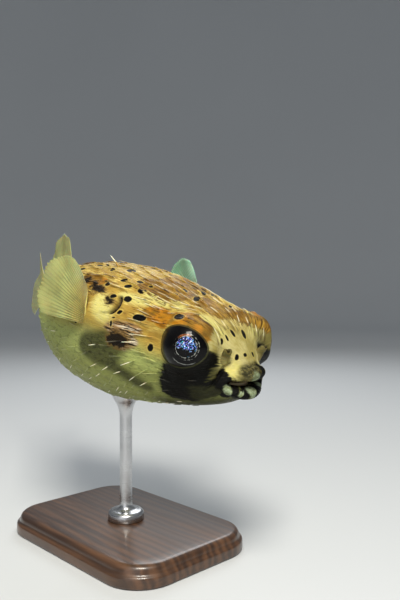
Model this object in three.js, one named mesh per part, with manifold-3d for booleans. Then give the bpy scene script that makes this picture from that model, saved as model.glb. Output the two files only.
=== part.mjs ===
// A porcupine pufferfish (Diodon holocanthus), a young adult at life size, hovering nose-down on a stand.
// Millimetres, +X towards the snout, +Y to the fish's left, +Z up, from the centre of the base's underside.
//
// The body is one smooth loft of rings. It starts inside the mouth, rolls out over the lips, and runs back
// over the face and trunk to the root of the tail fin. It is then parted into jaw, head, trunk and stalk.
// In the fish's own frame x is 0 at the tip of the upper lip and z is 0 on the axis of the tail stalk.

import * as THREE from "three";
import { mergeVertices } from "three/addons/utils/BufferGeometryUtils.js";
import Module from "manifold-3d";

const { PI, abs, asin, atan2, cos, exp, hypot, max, min, sign, sin, sqrt } = Math;
const wasm = await Module();
wasm.setup();

// ---------------------------------------------------------------- driving sizes

const STANDARD_LENGTH = 160; // tip of the lips to the root of the tail fin
const JOINT_GAP = 0.3; // between pieces that touch
const SLIVER = 0.05; // the smallest detail kept after a cut
const COAT_DEPTH = 0.8; // folded spines lie this deep over the skin of the body

const MOUTH = {
  level: -6.2, // height of the line between the lips
  halfWidth: 7.6,
  gap: 1.15, // half of the opening between the lips
  upperLip: 2.7, // radius of the upper lip's roll
  lowerLip: 2.25,
  cornerLip: 1.7,
  reach: 3.1, // radius of both rolls along the body
  sweep: 5.5, // the corners lie this far behind the middle
  lowerSetBack: 1.2,
  depth: 12,
};

const EYE = {
  centre: new THREE.Vector3(-20.2, 14.65, 4.4),
  rightAxis: new THREE.Vector3(0.32, -0.93, 0.07).normalize(),
  leftAxis: new THREE.Vector3(0.06, 0.99, 0.07).normalize(), // the left eye looks further back
  radius: 9.5,
  openingAlong: 8.9, // half sizes of the ring of skin that the eye looks out of
  openingUp: 7.0,
  flesh: 0.4, // thickness of the skin that wraps the ball
  lid: 0.4, // the ring swells this much outside its rim
  brow: 0.7, // the skin is this much thicker in front of and over the eye
  fillet: 9, // how softly the wrapping meets the plain face
};

const BEAK = { halfWidth: 5.2, reach: 2.6, thickness: 1.2, height: 2.4 };
const BEAK_EDGES = { upper: [5.4, 0.7], lower: [6.6, -0.5] }; // how far back, and height over the middle
const NOSTRIL = { at: new THREE.Vector3(-8.6, 7.3, 3.2), radius: 1.6, height: 2.3 };
const GILL = { station: 51.9, level: 13, height: 7.4, width: 0.8, bow: 2.0, depth: 1.6 };
const LOBE = { station: 59, level: 10, length: 9, height: 9, swell: 3.2 }; // the root of a pectoral fin

const HEAD_END = 51.5; // the head ends behind the gill openings
const TRUNK_END = 114; // the trunk ends in front of the dorsal fin
const JAW_BACK = 27; // the lower jaw ends here on the throat

// Fins. Rays leave the root at the first angle and fan to the last, in degrees above the line to the rear.
const PECTORAL = { rays: 22, rootTop: [63, 16.4], rootBottom: [63.5, 3.6], splay: [2, 20], cup: 2 };
const PECTORAL_CURL = [2, 2.4]; // the foremost ray's tip curls back and down by this much
const PECTORAL_FAN = { left: [68, -18], right: [58, 2] };
const PECTORAL_LENGTHS = [15.5, 22.5, 27.5, 27, 21];
const DORSAL = { rays: 14, rootFrom: 122, rootTo: 139, fan: [64, 14], lengths: [17, 23, 24.5, 21, 12] };
const ANAL = { rays: 14, rootFrom: 126, rootTo: 141, fan: [-64, -14], lengths: [15, 21, 22, 18, 10] };
const TAIL = { rays: 9, rootHalfHeight: 5.6, fan: [24, -24], lengths: [31, 34, 35, 34, 31] };
const FIN_MEMBRANE = 0.6; // thickness between the rays
const FIN_RAY = 1.0; // thickness over a ray at the root

const BEND = { from: 80, radius: 290 }; // the rear of the body curves to the left
const PITCH = (9.2 * PI) / 180; // nose-down
const CLEARANCE = 52.5; // from the top of the base up to the belly

const BASE = { length: 92, width: 64, corner: 16, thickness: 8, chamfer: 1 };
const ROD = { station: 70, radius: 2.6, collarRadius: 7.5, collarHeight: 4, cupRadius: 6 };

// The body from the lips back: [station, half width, top, bottom, widest level, squareness, sweep].
const BODY_STATIONS = [
  [4.2, 10.2, 1.4, -11.6, -6.0, 2.0, 5.2],
  [8, 12.8, 6.2, -13.8, -4.0, 2.1, 4.4],
  [14, 15.8, 12.0, -16.4, -1.4, 2.3, 2.8],
  [21, 18.8, 16.0, -18.8, 1.0, 2.5, 1.2],
  [34, 22.2, 19.8, -22.0, 1.8, 2.5, 0],
  [50, 25.4, 23.2, -25.6, 1.4, 2.4, 0],
  [68, 27.4, 25.2, -28.2, 0.8, 2.3, 0],
  [86, 27.0, 24.6, -27.4, 0.4, 2.2, 0],
  [102, 23.6, 22.0, -23.8, 0, 2.1, 0],
  [118, 17.2, 17.2, -17.6, 0.2, 2.0, 0],
  [132, 10.6, 12.2, -11.6, 0.3, 2.0, 0],
  [146, 5.8, 8.4, -7.6, 0.3, 2.0, 0],
  [160, 3.2, 6.6, -6.2, 0.2, 2.0, 0],
];

// ---------------------------------------------------------------- small helpers

const lerp = THREE.MathUtils.lerp;
const smooth = (t) => {
  const u = min(1, max(0, t));
  return u * u * (3 - 2 * u);
};
const bell = (distance, width) => exp(-((distance / width) ** 2));

// A cubic through rows of [station, ...values], with slopes that never overshoot between two rows.
function smoothTable(rows) {
  const columns = rows[0].length;
  const slopes = rows.map((row, i) =>
    row.map((_, c) => {
      if (i === 0 || i === rows.length - 1) {
        const [a, b] = i === 0 ? [rows[0], rows[1]] : [rows[i - 1], row];
        return (b[c] - a[c]) / (b[0] - a[0]);
      }
      const before = (row[c] - rows[i - 1][c]) / (row[0] - rows[i - 1][0]);
      const after = (rows[i + 1][c] - row[c]) / (rows[i + 1][0] - row[0]);
      return before * after <= 0 ? 0 : (2 * before * after) / (before + after);
    }),
  );
  return (station) => {
    let i = 0;
    while (i < rows.length - 2 && station > rows[i + 1][0]) i++;
    const span = rows[i + 1][0] - rows[i][0];
    const t = min(1, max(0, (station - rows[i][0]) / span));
    const [t2, t3] = [t * t, t * t * t];
    return Array.from({ length: columns }, (_, c) =>
      (2 * t3 - 3 * t2 + 1) * rows[i][c] + (t3 - 2 * t2 + t) * span * slopes[i][c]
      + (3 * t2 - 2 * t3) * rows[i + 1][c] + (t3 - t2) * span * slopes[i + 1][c]);
  };
}

const bodyAt = smoothTable(BODY_STATIONS);

// A closed solid from rings of points of equal count, fanned to a point at each end.
function loftGeometry(startPole, rings, endPole) {
  const points = [startPole, ...rings.flat(), endPole];
  const n = rings[0].length;
  const last = points.length - 1;
  const at = (ring, i) => 1 + ring * n + (i % n);
  const faces = [];
  for (let i = 0; i < n; i++) {
    faces.push(0, at(0, i), at(0, i + 1));
    faces.push(last, at(rings.length - 1, i + 1), at(rings.length - 1, i));
  }
  for (let r = 0; r < rings.length - 1; r++)
    for (let i = 0; i < n; i++) {
      faces.push(at(r, i), at(r + 1, i), at(r + 1, i + 1));
      faces.push(at(r, i), at(r + 1, i + 1), at(r, i + 1));
    }
  const geometry = new THREE.BufferGeometry().setFromPoints(points);
  geometry.setIndex(faces);
  return geometry;
}

function toSolid(geometry) {
  const plain = geometry.clone();
  plain.deleteAttribute("normal");
  plain.deleteAttribute("uv");
  const merged = mergeVertices(plain, 1e-4);
  return new wasm.Manifold(
    new wasm.Mesh({
      numProp: 3,
      vertProperties: new Float32Array(merged.attributes.position.array),
      triVerts: new Uint32Array(merged.index.array),
    }),
  );
}

// Joins the ends of every edge shorter than a sliver, and drops the faces that close up.
function withoutShortEdges(geometry) {
  const { position } = geometry.attributes;
  const corners = geometry.index.array;
  const point = (i) => new THREE.Vector3().fromBufferAttribute(position, i);
  const owner = Array.from({ length: position.count }, (_, i) => i);
  const find = (i) => (owner[i] === i ? i : find(owner[i]));
  for (let i = 0; i < corners.length; i++) {
    const [a, b] = [corners[i], corners[i % 3 === 2 ? i - 2 : i + 1]];
    if (point(a).distanceTo(point(b)) < SLIVER) owner[find(max(a, b))] = find(min(a, b));
  }
  const faces = [];
  for (let i = 0; i < corners.length; i += 3) {
    const face = [...corners.slice(i, i + 3)].map(find);
    if (new Set(face).size === 3) faces.push(...face);
  }
  return geometry.clone().setIndex(faces).toNonIndexed();
}

// The slivers that cuts leave are dropped on the way out.
function toGeometry(solid) {
  const asGeometry = (made) => {
    const mesh = made.getMesh();
    return new THREE.BufferGeometry()
      .setAttribute("position", new THREE.BufferAttribute(mesh.vertProperties.slice(), 3))
      .setIndex(new THREE.BufferAttribute(mesh.triVerts.slice(), 1));
  };
  let cleaned = solid.asOriginal().simplify(SLIVER);
  for (let pass = 0; pass < 2; pass++)
    cleaned = toSolid(withoutShortEdges(asGeometry(cleaned))).asOriginal().simplify(SLIVER);
  return asGeometry(cleaned);
}

// The block of space between two stations, in the fish's own frame.
function slabBetween(front, back) {
  const reach = 200;
  return toSolid(new THREE.BoxGeometry(back - front, reach, reach).translate(-(front + back) / 2, 0, 0));
}

// ---------------------------------------------------------------- the body's surface

// A point of a ring of the body. Angle 0 is the fish's left, a quarter turn is its back.
function ringPoint(ring, angle) {
  const [c, s] = [cos(angle), sin(angle)];
  const power = 2 / ring.square;
  const [across, along] = [sign(c) * abs(c) ** power, sign(s) * abs(s) ** power];
  const height = s > 0 ? ring.top - ring.level : ring.level - ring.bottom;
  const setBack = ring.sweep * c * c + ring.lowerSetBack * (1 - s) / 2;
  return new THREE.Vector3(ring.x - setBack, ring.width * across, ring.level + height * along);
}

// A ring of the lips. Roll 0 is the front of the lip, -90 degrees faces the opening and 90 faces out.
function lipRing(roll, grow) {
  const out = (radius) => radius + (radius + grow) * sin(roll);
  return {
    x: -MOUTH.reach + (MOUTH.reach + grow) * cos(roll),
    width: MOUTH.halfWidth + out(MOUTH.cornerLip),
    top: MOUTH.level + MOUTH.gap + out(MOUTH.upperLip),
    bottom: MOUTH.level - MOUTH.gap - out(MOUTH.lowerLip),
    level: MOUTH.level,
    square: 2,
    sweep: MOUTH.sweep,
    lowerSetBack: MOUTH.lowerSetBack,
  };
}

// A ring of the wall inside the mouth.
function mouthRing(depth, width, halfHeight, sweep, grow) {
  return {
    x: -depth,
    width: width - grow,
    top: MOUTH.level + halfHeight - grow,
    bottom: MOUTH.level - halfHeight + grow,
    level: MOUTH.level,
    square: 2,
    sweep,
    lowerSetBack: 0,
  };
}

function bodyRing(station, grow) {
  const [, width, top, bottom, level, square, sweep] = bodyAt(station);
  const out = grow + COAT_DEPTH * smooth((station - 8) / 30) * smooth((155 - station) / 20);
  return {
    x: -station,
    width: width + out,
    top: top + out,
    bottom: bottom - out,
    level,
    square,
    sweep,
    lowerSetBack: MOUTH.lowerSetBack * smooth((15 - station) / 10),
  };
}

// Wraps the skin round the eyeball outside the rim of its opening, and draws it flat across the opening.
function shapeEyeMound(point) {
  const side = new THREE.Vector3(1, point.y < 0 ? -1 : 1, 1);
  const centre = EYE.centre.clone().multiply(side);
  const axis = point.y < 0 ? EYE.rightAxis : EYE.leftAxis;
  const offset = point.clone().sub(centre);
  const distance = offset.length();
  const height = offset.dot(axis);
  const across = offset.clone().addScaledVector(axis, -height);
  const flat = max(hypot(across.x, across.z), 1e-6);
  const [forward, up] = [across.x / flat, across.z / flat];
  const rim = 1 / hypot(forward / EYE.openingAlong, up / EYE.openingUp);
  const turn = atan2(across.length(), height);
  const away = (turn - asin(rim / EYE.radius)) * EYE.radius;
  const brow = EYE.brow * smooth(0.85 * forward + 0.5 * up) * bell(away - 3, 4);
  const outside = EYE.flesh + brow + EYE.lid * bell(away - 1.8, 1.5);
  const hull = EYE.radius + JOINT_GAP + outside * smooth(away);
  const near = max(EYE.fillet - abs(distance - hull), 0);
  const eased = max(distance, hull) + near ** 2 / EYE.fillet / 4;
  const rimHeight = sqrt(EYE.radius ** 2 - rim ** 2) + JOINT_GAP;
  const reach = away < 0 ? rimHeight / cos(turn) : lerp(hull, eased, smooth((away - 0.3) / 2.5));
  return centre.addScaledVector(offset, reach / distance);
}

// Swells the flank into the fleshy root of each pectoral fin.
function shapePectoralLobe(point) {
  const along = bell(-point.x - LOBE.station, LOBE.length);
  const swell = LOBE.swell * along * bell(point.z - LOBE.level, LOBE.height);
  point.y += sign(point.y) * swell * smooth(abs(point.y) / 15);
  return point;
}

function bodyGeometry(segments, stations, lipRolls, grow = 0) {
  const rings = [
    mouthRing(MOUTH.depth - 0.8, 5.2, 2.8, 1, grow),
    mouthRing(MOUTH.depth - 4.8, 7.8, 4.2, 4.4, grow),
    ...lipRolls.map((degrees) => lipRing((degrees * PI) / 180, grow)),
    ...stations.map((station) => bodyRing(station, grow)),
  ];
  const turned = (ring) => Array.from({ length: segments }, (_, i) => {
    return shapePectoralLobe(shapeEyeMound(ringPoint(ring, (2 * PI * (i + 0.5)) / segments)));
  });
  return loftGeometry(
    new THREE.Vector3(-MOUTH.depth + grow, 0, MOUTH.level),
    rings.map(turned),
    new THREE.Vector3(-STANDARD_LENGTH - 1.2 - grow, 0, 0.2),
  );
}

const SEGMENTS = 38;
const LIP_ROLLS = [-135, -95, -55, -15, 25, 60, 90];
const STATIONS = [];
for (let station = 4.6; station < STANDARD_LENGTH; station += lerp(2.6, 6.2, smooth((station - 18) / 50)))
  STATIONS.push(station);
STATIONS.push(STANDARD_LENGTH);

// ---------------------------------------------------------------- the body and its parts

const ball = (radius, centre, detail) => {
  const [columns, rows] = detail;
  return toSolid(new THREE.SphereGeometry(radius, columns, rows).translate(...centre.toArray()));
};
const mirrored = (v) => new THREE.Vector3(v.x, -v.y, v.z);

// A short fleshy tube that stands on the snout, joined to the head.
function nostril(at) {
  const outward = new THREE.Vector3(0.55, sign(at.y) * 0.22, 0.8).normalize();
  const turn = new THREE.Quaternion().setFromUnitVectors(new THREE.Vector3(0, 1, 0), outward);
  const { radius, height } = NOSTRIL;
  const tube = new THREE.CylinderGeometry(radius * 0.8, radius * 1.25, height * 2, 12);
  const hollow = new THREE.CylinderGeometry(radius * 0.5, radius * 0.4, height, 10);
  hollow.translate(0, height, 0);
  const place = (geometry) => toSolid(geometry.applyQuaternion(turn).translate(at.x, at.y, at.z));
  return [place(tube), place(hollow)];
}

// The crescent slot of a gill opening, bowed forwards round the root of the fin.
function gillSlot(side) {
  const shape = new THREE.Shape();
  const half = GILL.height / 2;
  const bowAt = (t) => GILL.bow * (1 - t * t);
  const steps = [-1, -0.7, -0.35, 0, 0.35, 0.7, 1];
  const widthAt = (t) => GILL.width * (1 - t * t);
  const front = steps.map((t) => new THREE.Vector2(bowAt(t), half * t));
  const back = steps.slice(1, -1).reverse().map((t) => new THREE.Vector2(bowAt(t) - widthAt(t), half * t));
  shape.setFromPoints([...front, ...back]);
  const slot = new THREE.ExtrudeGeometry(shape, { depth: 12, bevelEnabled: false });
  slot.rotateX(PI / 2);
  const wall = bodyAt(GILL.station)[1] + COAT_DEPTH - GILL.depth;
  return toSolid(slot.translate(-GILL.station, side > 0 ? wall + 12 : -wall, GILL.level));
}

// The block of space that holds the lower jaw: below the mouth, then slanting down to the throat.
function jawBlock(grow) {
  const shape = new THREE.Shape([
    new THREE.Vector2(20, MOUTH.level + grow),
    new THREE.Vector2(-MOUTH.sweep - MOUTH.reach - 1.2, MOUTH.level + grow),
    new THREE.Vector2(-JAW_BACK - grow, -23 + grow),
    new THREE.Vector2(-JAW_BACK - grow, -60),
    new THREE.Vector2(20, -60),
  ]);
  const block = new THREE.ExtrudeGeometry(shape, { depth: 120, bevelEnabled: false });
  return toSolid(block.rotateX(PI / 2).translate(0, 60, 0));
}

const plainBody = toSolid(bodyGeometry(SEGMENTS, STATIONS, LIP_ROLLS));
const grownBody = toSolid(bodyGeometry(SEGMENTS, STATIONS, LIP_ROLLS, JOINT_GAP));

let body = plainBody;
for (const at of [NOSTRIL.at, mirrored(NOSTRIL.at)]) {
  const [tube, hollow] = nostril(at);
  body = body.add(tube).subtract(hollow);
}
for (const centre of [EYE.centre, mirrored(EYE.centre)])
  body = body.subtract(ball(EYE.radius + JOINT_GAP, centre, [20, 12]));
for (const side of [1, -1]) body = body.subtract(gillSlot(side));

const wholeHead = body.intersect(slabBetween(-20, HEAD_END));
const head = wholeHead.subtract(jawBlock(JOINT_GAP / 2));
const lowerJaw = wholeHead.intersect(jawBlock(-JOINT_GAP / 2));
const trunk = body.intersect(slabBetween(HEAD_END + JOINT_GAP, TRUNK_END));
const tailStalk = body.intersect(slabBetween(TRUNK_END + JOINT_GAP, STANDARD_LENGTH + 30));

// ---------------------------------------------------------------- the beak

// One plate of the beak: a curved strip whose biting edge is thinner than its root.
function beakPlate([setBack, edge], direction) {
  const arc = [-1, -0.66, -0.33, 0, 0.33, 0.66, 1];
  const rings = arc.map((t) => {
    const angle = (t * PI) / 2.4;
    const outward = new THREE.Vector2(cos(angle), sin(angle));
    const point = (inset, height) => new THREE.Vector3(
      -setBack - BEAK.reach * (1 - outward.x) - inset * outward.x,
      (BEAK.halfWidth - inset) * outward.y,
      MOUTH.level + edge + direction * height,
    );
    const outer = [point(0.35, 0), point(0, 0.8), point(0, BEAK.height)];
    const corners = [...outer, point(BEAK.thickness, BEAK.height), point(BEAK.thickness * 0.7, 0)];
    return direction > 0 ? corners : corners.reverse();
  });
  const middle = (ring) => {
    return ring.reduce((sum, p) => sum.add(p), new THREE.Vector3()).divideScalar(ring.length);
  };
  return toSolid(loftGeometry(middle(rings[0]), rings, middle(rings.at(-1)))).subtract(grownBody);
}

// ---------------------------------------------------------------- the fins

// A value between evenly spaced keys, for a share from 0 to 1.
const between = (keys, share) => {
  return smoothTable(keys.map((value, i) => [i / (keys.length - 1), value]))(share)[1];
};

// A fan of rays with a membrane between them. The caller gives the root, ray direction, ray length and
// outward bow at each share of the way along the root.
function finSolid(rays, shapeAt) {
  const [columns, rows] = [2 * rays, 2];
  const middle = (i, j) => {
    const share = i / columns;
    const { root, direction, length, bow } = shapeAt(share);
    const scallop = i % 2 ? 1 : 0.965;
    const t = (j / rows) * scallop;
    return root.clone().addScaledVector(direction, length * t).addScaledVector(bow, t * t);
  };
  const facing = (i, j) => {
    const across = middle(min(i + 1, columns), j).sub(middle(max(i - 1, 0), j));
    const along = middle(i, min(j + 1, rows)).sub(middle(i, max(j - 1, 0)));
    return across.cross(along).normalize();
  };
  const side = (i, j, sense) => {
    const ridge = i % 2 ? lerp(FIN_RAY, FIN_MEMBRANE, j / rows) : FIN_MEMBRANE;
    return middle(i, j).addScaledVector(facing(i, j), (sense * ridge) / 2);
  };
  const rings = [];
  for (let i = 0; i <= columns; i++) {
    const out = Array.from({ length: rows + 1 }, (_, j) => side(i, j, 1));
    const back = Array.from({ length: rows + 1 }, (_, j) => side(i, rows - j, -1));
    rings.push([...out, ...back]);
  }
  return toSolid(loftGeometry(middle(0, rows / 2), rings, middle(columns, rows / 2))).subtract(grownBody);
}

function pectoralFin(side, fan) {
  const [stationTop, levelTop] = PECTORAL.rootTop;
  const [stationBottom, levelBottom] = PECTORAL.rootBottom;
  return finSolid(PECTORAL.rays, (share) => {
    const angle = (lerp(...fan, share) * PI) / 180;
    const splay = (lerp(...PECTORAL.splay, share) * PI) / 180;
    const station = lerp(stationTop, stationBottom, share) - 1.2 * sin(PI * share);
    const level = lerp(levelTop, levelBottom, share);
    const wall = bodyAt(station)[1] + LOBE.swell * bell(station - LOBE.station, LOBE.length);
    const [curlBack, curlDown] = PECTORAL_CURL.map((curl) => curl * (1 - share) ** 2);
    return {
      root: new THREE.Vector3(-station, side * (wall - 0.6 - 1.6 * abs(share - 0.45)), level),
      direction: new THREE.Vector3(-cos(angle) * cos(splay), side * sin(splay), sin(angle) * cos(splay)),
      length: between(PECTORAL_LENGTHS, share),
      bow: new THREE.Vector3(-curlBack, -side * PECTORAL.cup * sin(PI * share), -curlDown),
    };
  });
}

// The dorsal and the anal fin stand in the middle plane of the body.
function medianFin(fin, up) {
  return finSolid(fin.rays, (share) => {
    const station = lerp(fin.rootFrom, fin.rootTo, share);
    const [, , top, bottom] = bodyAt(station);
    const angle = (lerp(...fin.fan, share) * PI) / 180;
    return {
      root: new THREE.Vector3(-station, 0, (up > 0 ? top : bottom) - up * 1.5),
      direction: new THREE.Vector3(-cos(angle), 0, sin(angle)),
      length: between(fin.lengths, share) + 1.5,
      bow: new THREE.Vector3(0, 1.8 * sin(PI * share), 0),
    };
  });
}

function tailFin() {
  return finSolid(TAIL.rays, (share) => {
    const angle = (lerp(...TAIL.fan, share) * PI) / 180;
    return {
      root: new THREE.Vector3(-STANDARD_LENGTH + 1, 0, 0.2 + lerp(1, -1, share) * TAIL.rootHalfHeight),
      direction: new THREE.Vector3(-cos(angle), 0, sin(angle)),
      length: between(TAIL.lengths, share),
      bow: new THREE.Vector3(0, 1.5 + 2 * sin(2 * PI * share), 0),
    };
  });
}

// ---------------------------------------------------------------- the pose

// Curves the rear of the body to the left along an arc, then tips the fish nose-down over the rod.
function poseFish(geometry) {
  const positions = geometry.attributes.position;
  const point = new THREE.Vector3();
  for (let i = 0; i < positions.count; i++) {
    point.fromBufferAttribute(positions, i);
    const past = -point.x - BEND.from;
    if (past > 0) {
      const angle = past / BEND.radius;
      const radius = BEND.radius - point.y;
      point.set(-BEND.from - radius * sin(angle), BEND.radius - radius * cos(angle), point.z);
    }
    positions.setXYZ(i, point.x, point.y, point.z);
  }
  geometry.rotateY(PITCH);
  return geometry.translate(...FISH_ORIGIN.toArray());
}

// Where the fish's own origin lies, so that the belly is over the rod.
const belly = new THREE.Vector3(-ROD.station, 0, bodyAt(ROD.station)[3] - COAT_DEPTH);
belly.applyAxisAngle(new THREE.Vector3(0, 1, 0), PITCH);
const FISH_ORIGIN = new THREE.Vector3(0, 0, BASE.thickness + CLEARANCE).sub(belly);

// ---------------------------------------------------------------- the stand

function standBase() {
  const [x, y, r] = [BASE.length / 2, BASE.width / 2, BASE.corner].map((size) => size - BASE.chamfer);
  const outline = new THREE.Shape();
  outline.moveTo(-x + r, -y);
  outline.lineTo(x - r, -y);
  outline.absarc(x - r, -y + r, r, -PI / 2, 0);
  outline.absarc(x - r, y - r, r, 0, PI / 2);
  outline.absarc(-x + r, y - r, r, PI / 2, PI);
  outline.absarc(-x + r, -y + r, r, PI, 1.5 * PI);
  const plate = new THREE.ExtrudeGeometry(outline, {
    depth: BASE.thickness - 2 * BASE.chamfer,
    bevelThickness: BASE.chamfer,
    bevelSize: BASE.chamfer,
    bevelSegments: 1,
    curveSegments: 5,
  });
  return plate.translate(0, 0, BASE.chamfer);
}

// A turned rod that stands in a collar on the base and widens into a small cup under the belly.
function standRod(fishAbove) {
  const foot = BASE.thickness + JOINT_GAP;
  const profile = [
    [0, foot],
    [ROD.collarRadius, foot],
    [ROD.collarRadius, foot + ROD.collarHeight - 1],
    [ROD.collarRadius - 1, foot + ROD.collarHeight],
    [ROD.radius + 1.2, foot + ROD.collarHeight],
    [ROD.radius, foot + ROD.collarHeight + 3],
    [ROD.radius, BASE.thickness + CLEARANCE - 8],
    [ROD.cupRadius, BASE.thickness + CLEARANCE + 3],
    [0, BASE.thickness + CLEARANCE + 3],
  ].map(([radius, height]) => new THREE.Vector2(radius, height));
  const rod = new THREE.LatheGeometry(profile, 18).rotateX(PI / 2);
  return toGeometry(toSolid(rod).subtract(fishAbove));
}

// ---------------------------------------------------------------- the model

const finish = (color, roughness, metalness = 0) => {
  return new THREE.MeshStandardMaterial({ color, roughness, metalness });
};
const SKIN = finish(0xb9954f, 0.55);
const LIP = finish(0x8f8a5c, 0.5);
const FIN = finish(0xa8b48a, 0.45);
const EYEBALL = finish(0x10131a, 0.12);
const BEAK_HORN = finish(0xd8c9a0, 0.4);
const WOOD = finish(0x4a3424, 0.5);
const ROD_METAL = finish(0xb9bcc0, 0.3, 1);

const model = new THREE.Group();
model.name = "porcupine_pufferfish";

function addNode(name, geometry, material) {
  const mesh = new THREE.Mesh(geometry, material.clone());
  mesh.name = name;
  model.add(mesh);
}

const addFlesh = (name, solid, material) => addNode(name, poseFish(toGeometry(solid)), material);

addFlesh("head", head, SKIN);
addFlesh("lower_jaw", lowerJaw, LIP);
addFlesh("trunk", trunk, SKIN);
addFlesh("tail_stalk", tailStalk, SKIN);
addFlesh("beak_upper", beakPlate(BEAK_EDGES.upper, 1), BEAK_HORN);
addFlesh("beak_lower", beakPlate(BEAK_EDGES.lower, -1), BEAK_HORN);
addFlesh("eye_left", ball(EYE.radius, EYE.centre, [20, 12]), EYEBALL);
addFlesh("eye_right", ball(EYE.radius, mirrored(EYE.centre), [20, 12]), EYEBALL);
addFlesh("pectoral_fin_left", pectoralFin(1, PECTORAL_FAN.left), FIN);
addFlesh("pectoral_fin_right", pectoralFin(-1, PECTORAL_FAN.right), FIN);
addFlesh("dorsal_fin", medianFin(DORSAL, 1), FIN);
addFlesh("anal_fin", medianFin(ANAL, -1), FIN);
addFlesh("tail_fin", tailFin(), FIN);
addNode("stand_base", standBase(), WOOD);
addNode("stand_rod", standRod(toSolid(poseFish(toGeometry(grownBody)))), ROD_METAL);

export default model;
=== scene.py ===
"""A porcupine pufferfish at life size, hovering nose-down over a small display stand.

Shapes are worked out in the fish's own frame in millimetres: x is 0 at the tip of the upper lip and grows
forwards, y points to the fish's left, z is 0 on the axis of the tail stalk. Every piece is then posed into
the row frame in metres.
"""

import logging
import math
from collections.abc import Callable, Sequence
from dataclasses import dataclass, field
from enum import Enum

import bpy  # noqa: E402
import numpy as np  # noqa: E402
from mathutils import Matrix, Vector  # noqa: E402
from mathutils.bvhtree import BVHTree  # noqa: E402
from mathutils.kdtree import KDTree  # noqa: E402


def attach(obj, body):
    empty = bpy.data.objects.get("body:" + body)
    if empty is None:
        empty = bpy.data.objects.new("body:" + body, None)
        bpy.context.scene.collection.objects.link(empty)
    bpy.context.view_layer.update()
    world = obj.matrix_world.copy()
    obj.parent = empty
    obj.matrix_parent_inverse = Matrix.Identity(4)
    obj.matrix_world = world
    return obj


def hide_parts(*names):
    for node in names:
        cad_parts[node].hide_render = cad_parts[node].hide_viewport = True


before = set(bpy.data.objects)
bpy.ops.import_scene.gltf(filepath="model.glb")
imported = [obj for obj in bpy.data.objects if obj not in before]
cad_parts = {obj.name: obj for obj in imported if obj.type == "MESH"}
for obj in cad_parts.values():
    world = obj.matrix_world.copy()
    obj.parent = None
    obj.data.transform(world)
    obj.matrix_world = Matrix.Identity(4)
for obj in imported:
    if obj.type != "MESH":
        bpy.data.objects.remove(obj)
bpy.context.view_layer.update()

LOG = logging.getLogger("pufferfish")
MM = 0.001
BODY = "root"
Array = np.ndarray
Piece = bpy.types.Object
Material = bpy.types.Material
Node = bpy.types.Node
Socket = bpy.types.NodeSocket
Number = Socket | float
Pair = tuple[float, float]
Triple = tuple[float, float, float]
Colour = tuple[float, float, float]


# --- small helpers


def smooth(t: Array | float, start: float = 0.0, width: float = 1.0) -> Array:
    """An ease from 0 to 1 as t goes from the start over the width."""
    u = np.clip((t - start) / width, 0.0, 1.0)
    return u * u * (3.0 - 2.0 * u)


def bell(distance: Array | float, width: float) -> Array:
    """A smooth hump of height 1 about distance 0."""
    return np.exp(-((np.asarray(distance) / width) ** 2))


def blend(a: Array | float, b: Array | float, share: Array | float) -> Array:
    """The value a share of the way from a to b."""
    return a + (b - a) * share


def full_turn(count: int) -> Array:
    """Evenly spaced angles once round."""
    return np.linspace(0, 2 * math.pi, count, endpoint=False)


def unit(v: Array) -> Array:
    """Rows of v made one long."""
    return v / np.maximum(np.linalg.norm(v, axis=-1, keepdims=True), 1e-9)


class SmoothTable:
    """A cubic through rows of [key, ...values] whose slopes never overshoot between two rows."""

    def __init__(self, rows: Sequence[Sequence[float]]) -> None:
        """Works out the slope of every column at every row.

        Args:
            rows: the keys, which increase, and their values.
        """
        self.rows = np.asarray(rows, float)
        key = self.rows[:, :1]
        secant = np.diff(self.rows, axis=0) / np.diff(key, axis=0)
        before, after = secant[:-1], secant[1:]
        product = before * after
        total = np.where(np.abs(before + after) < 1e-12, 1.0, before + after)
        inner = np.where(product <= 0, 0.0, 2.0 * product / total)
        self.slopes = np.vstack([secant[:1], inner, secant[-1:]])

    def __call__(self, key: Array | float) -> Array:
        """The values at each key, one column for each value.

        Args:
            key: one key or an array of them.

        Returns:
            An array of the keys' shape with one more axis for the values.
        """
        key = np.asarray(key, float)
        i = np.clip(np.searchsorted(self.rows[:, 0], key, side="right") - 1, 0, len(self.rows) - 2)
        span = (self.rows[i + 1, 0] - self.rows[i, 0])[..., None]
        t = np.clip((key - self.rows[i, 0])[..., None] / span, 0.0, 1.0)
        t2, t3 = t * t, t * t * t
        value = (
            (2 * t3 - 3 * t2 + 1) * self.rows[i]
            + (t3 - 2 * t2 + t) * span * self.slopes[i]
            + (3 * t2 - 2 * t3) * self.rows[i + 1]
            + (t3 - t2) * span * self.slopes[i + 1]
        )
        return value[..., 1:]


def between(keys: Sequence[float], share: Array | float) -> Array:
    """A value between evenly spaced keys, for a share from 0 to 1."""
    rows = [[i / (len(keys) - 1), value] for i, value in enumerate(keys)]
    return SmoothTable(rows)(share)[..., 0]


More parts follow.
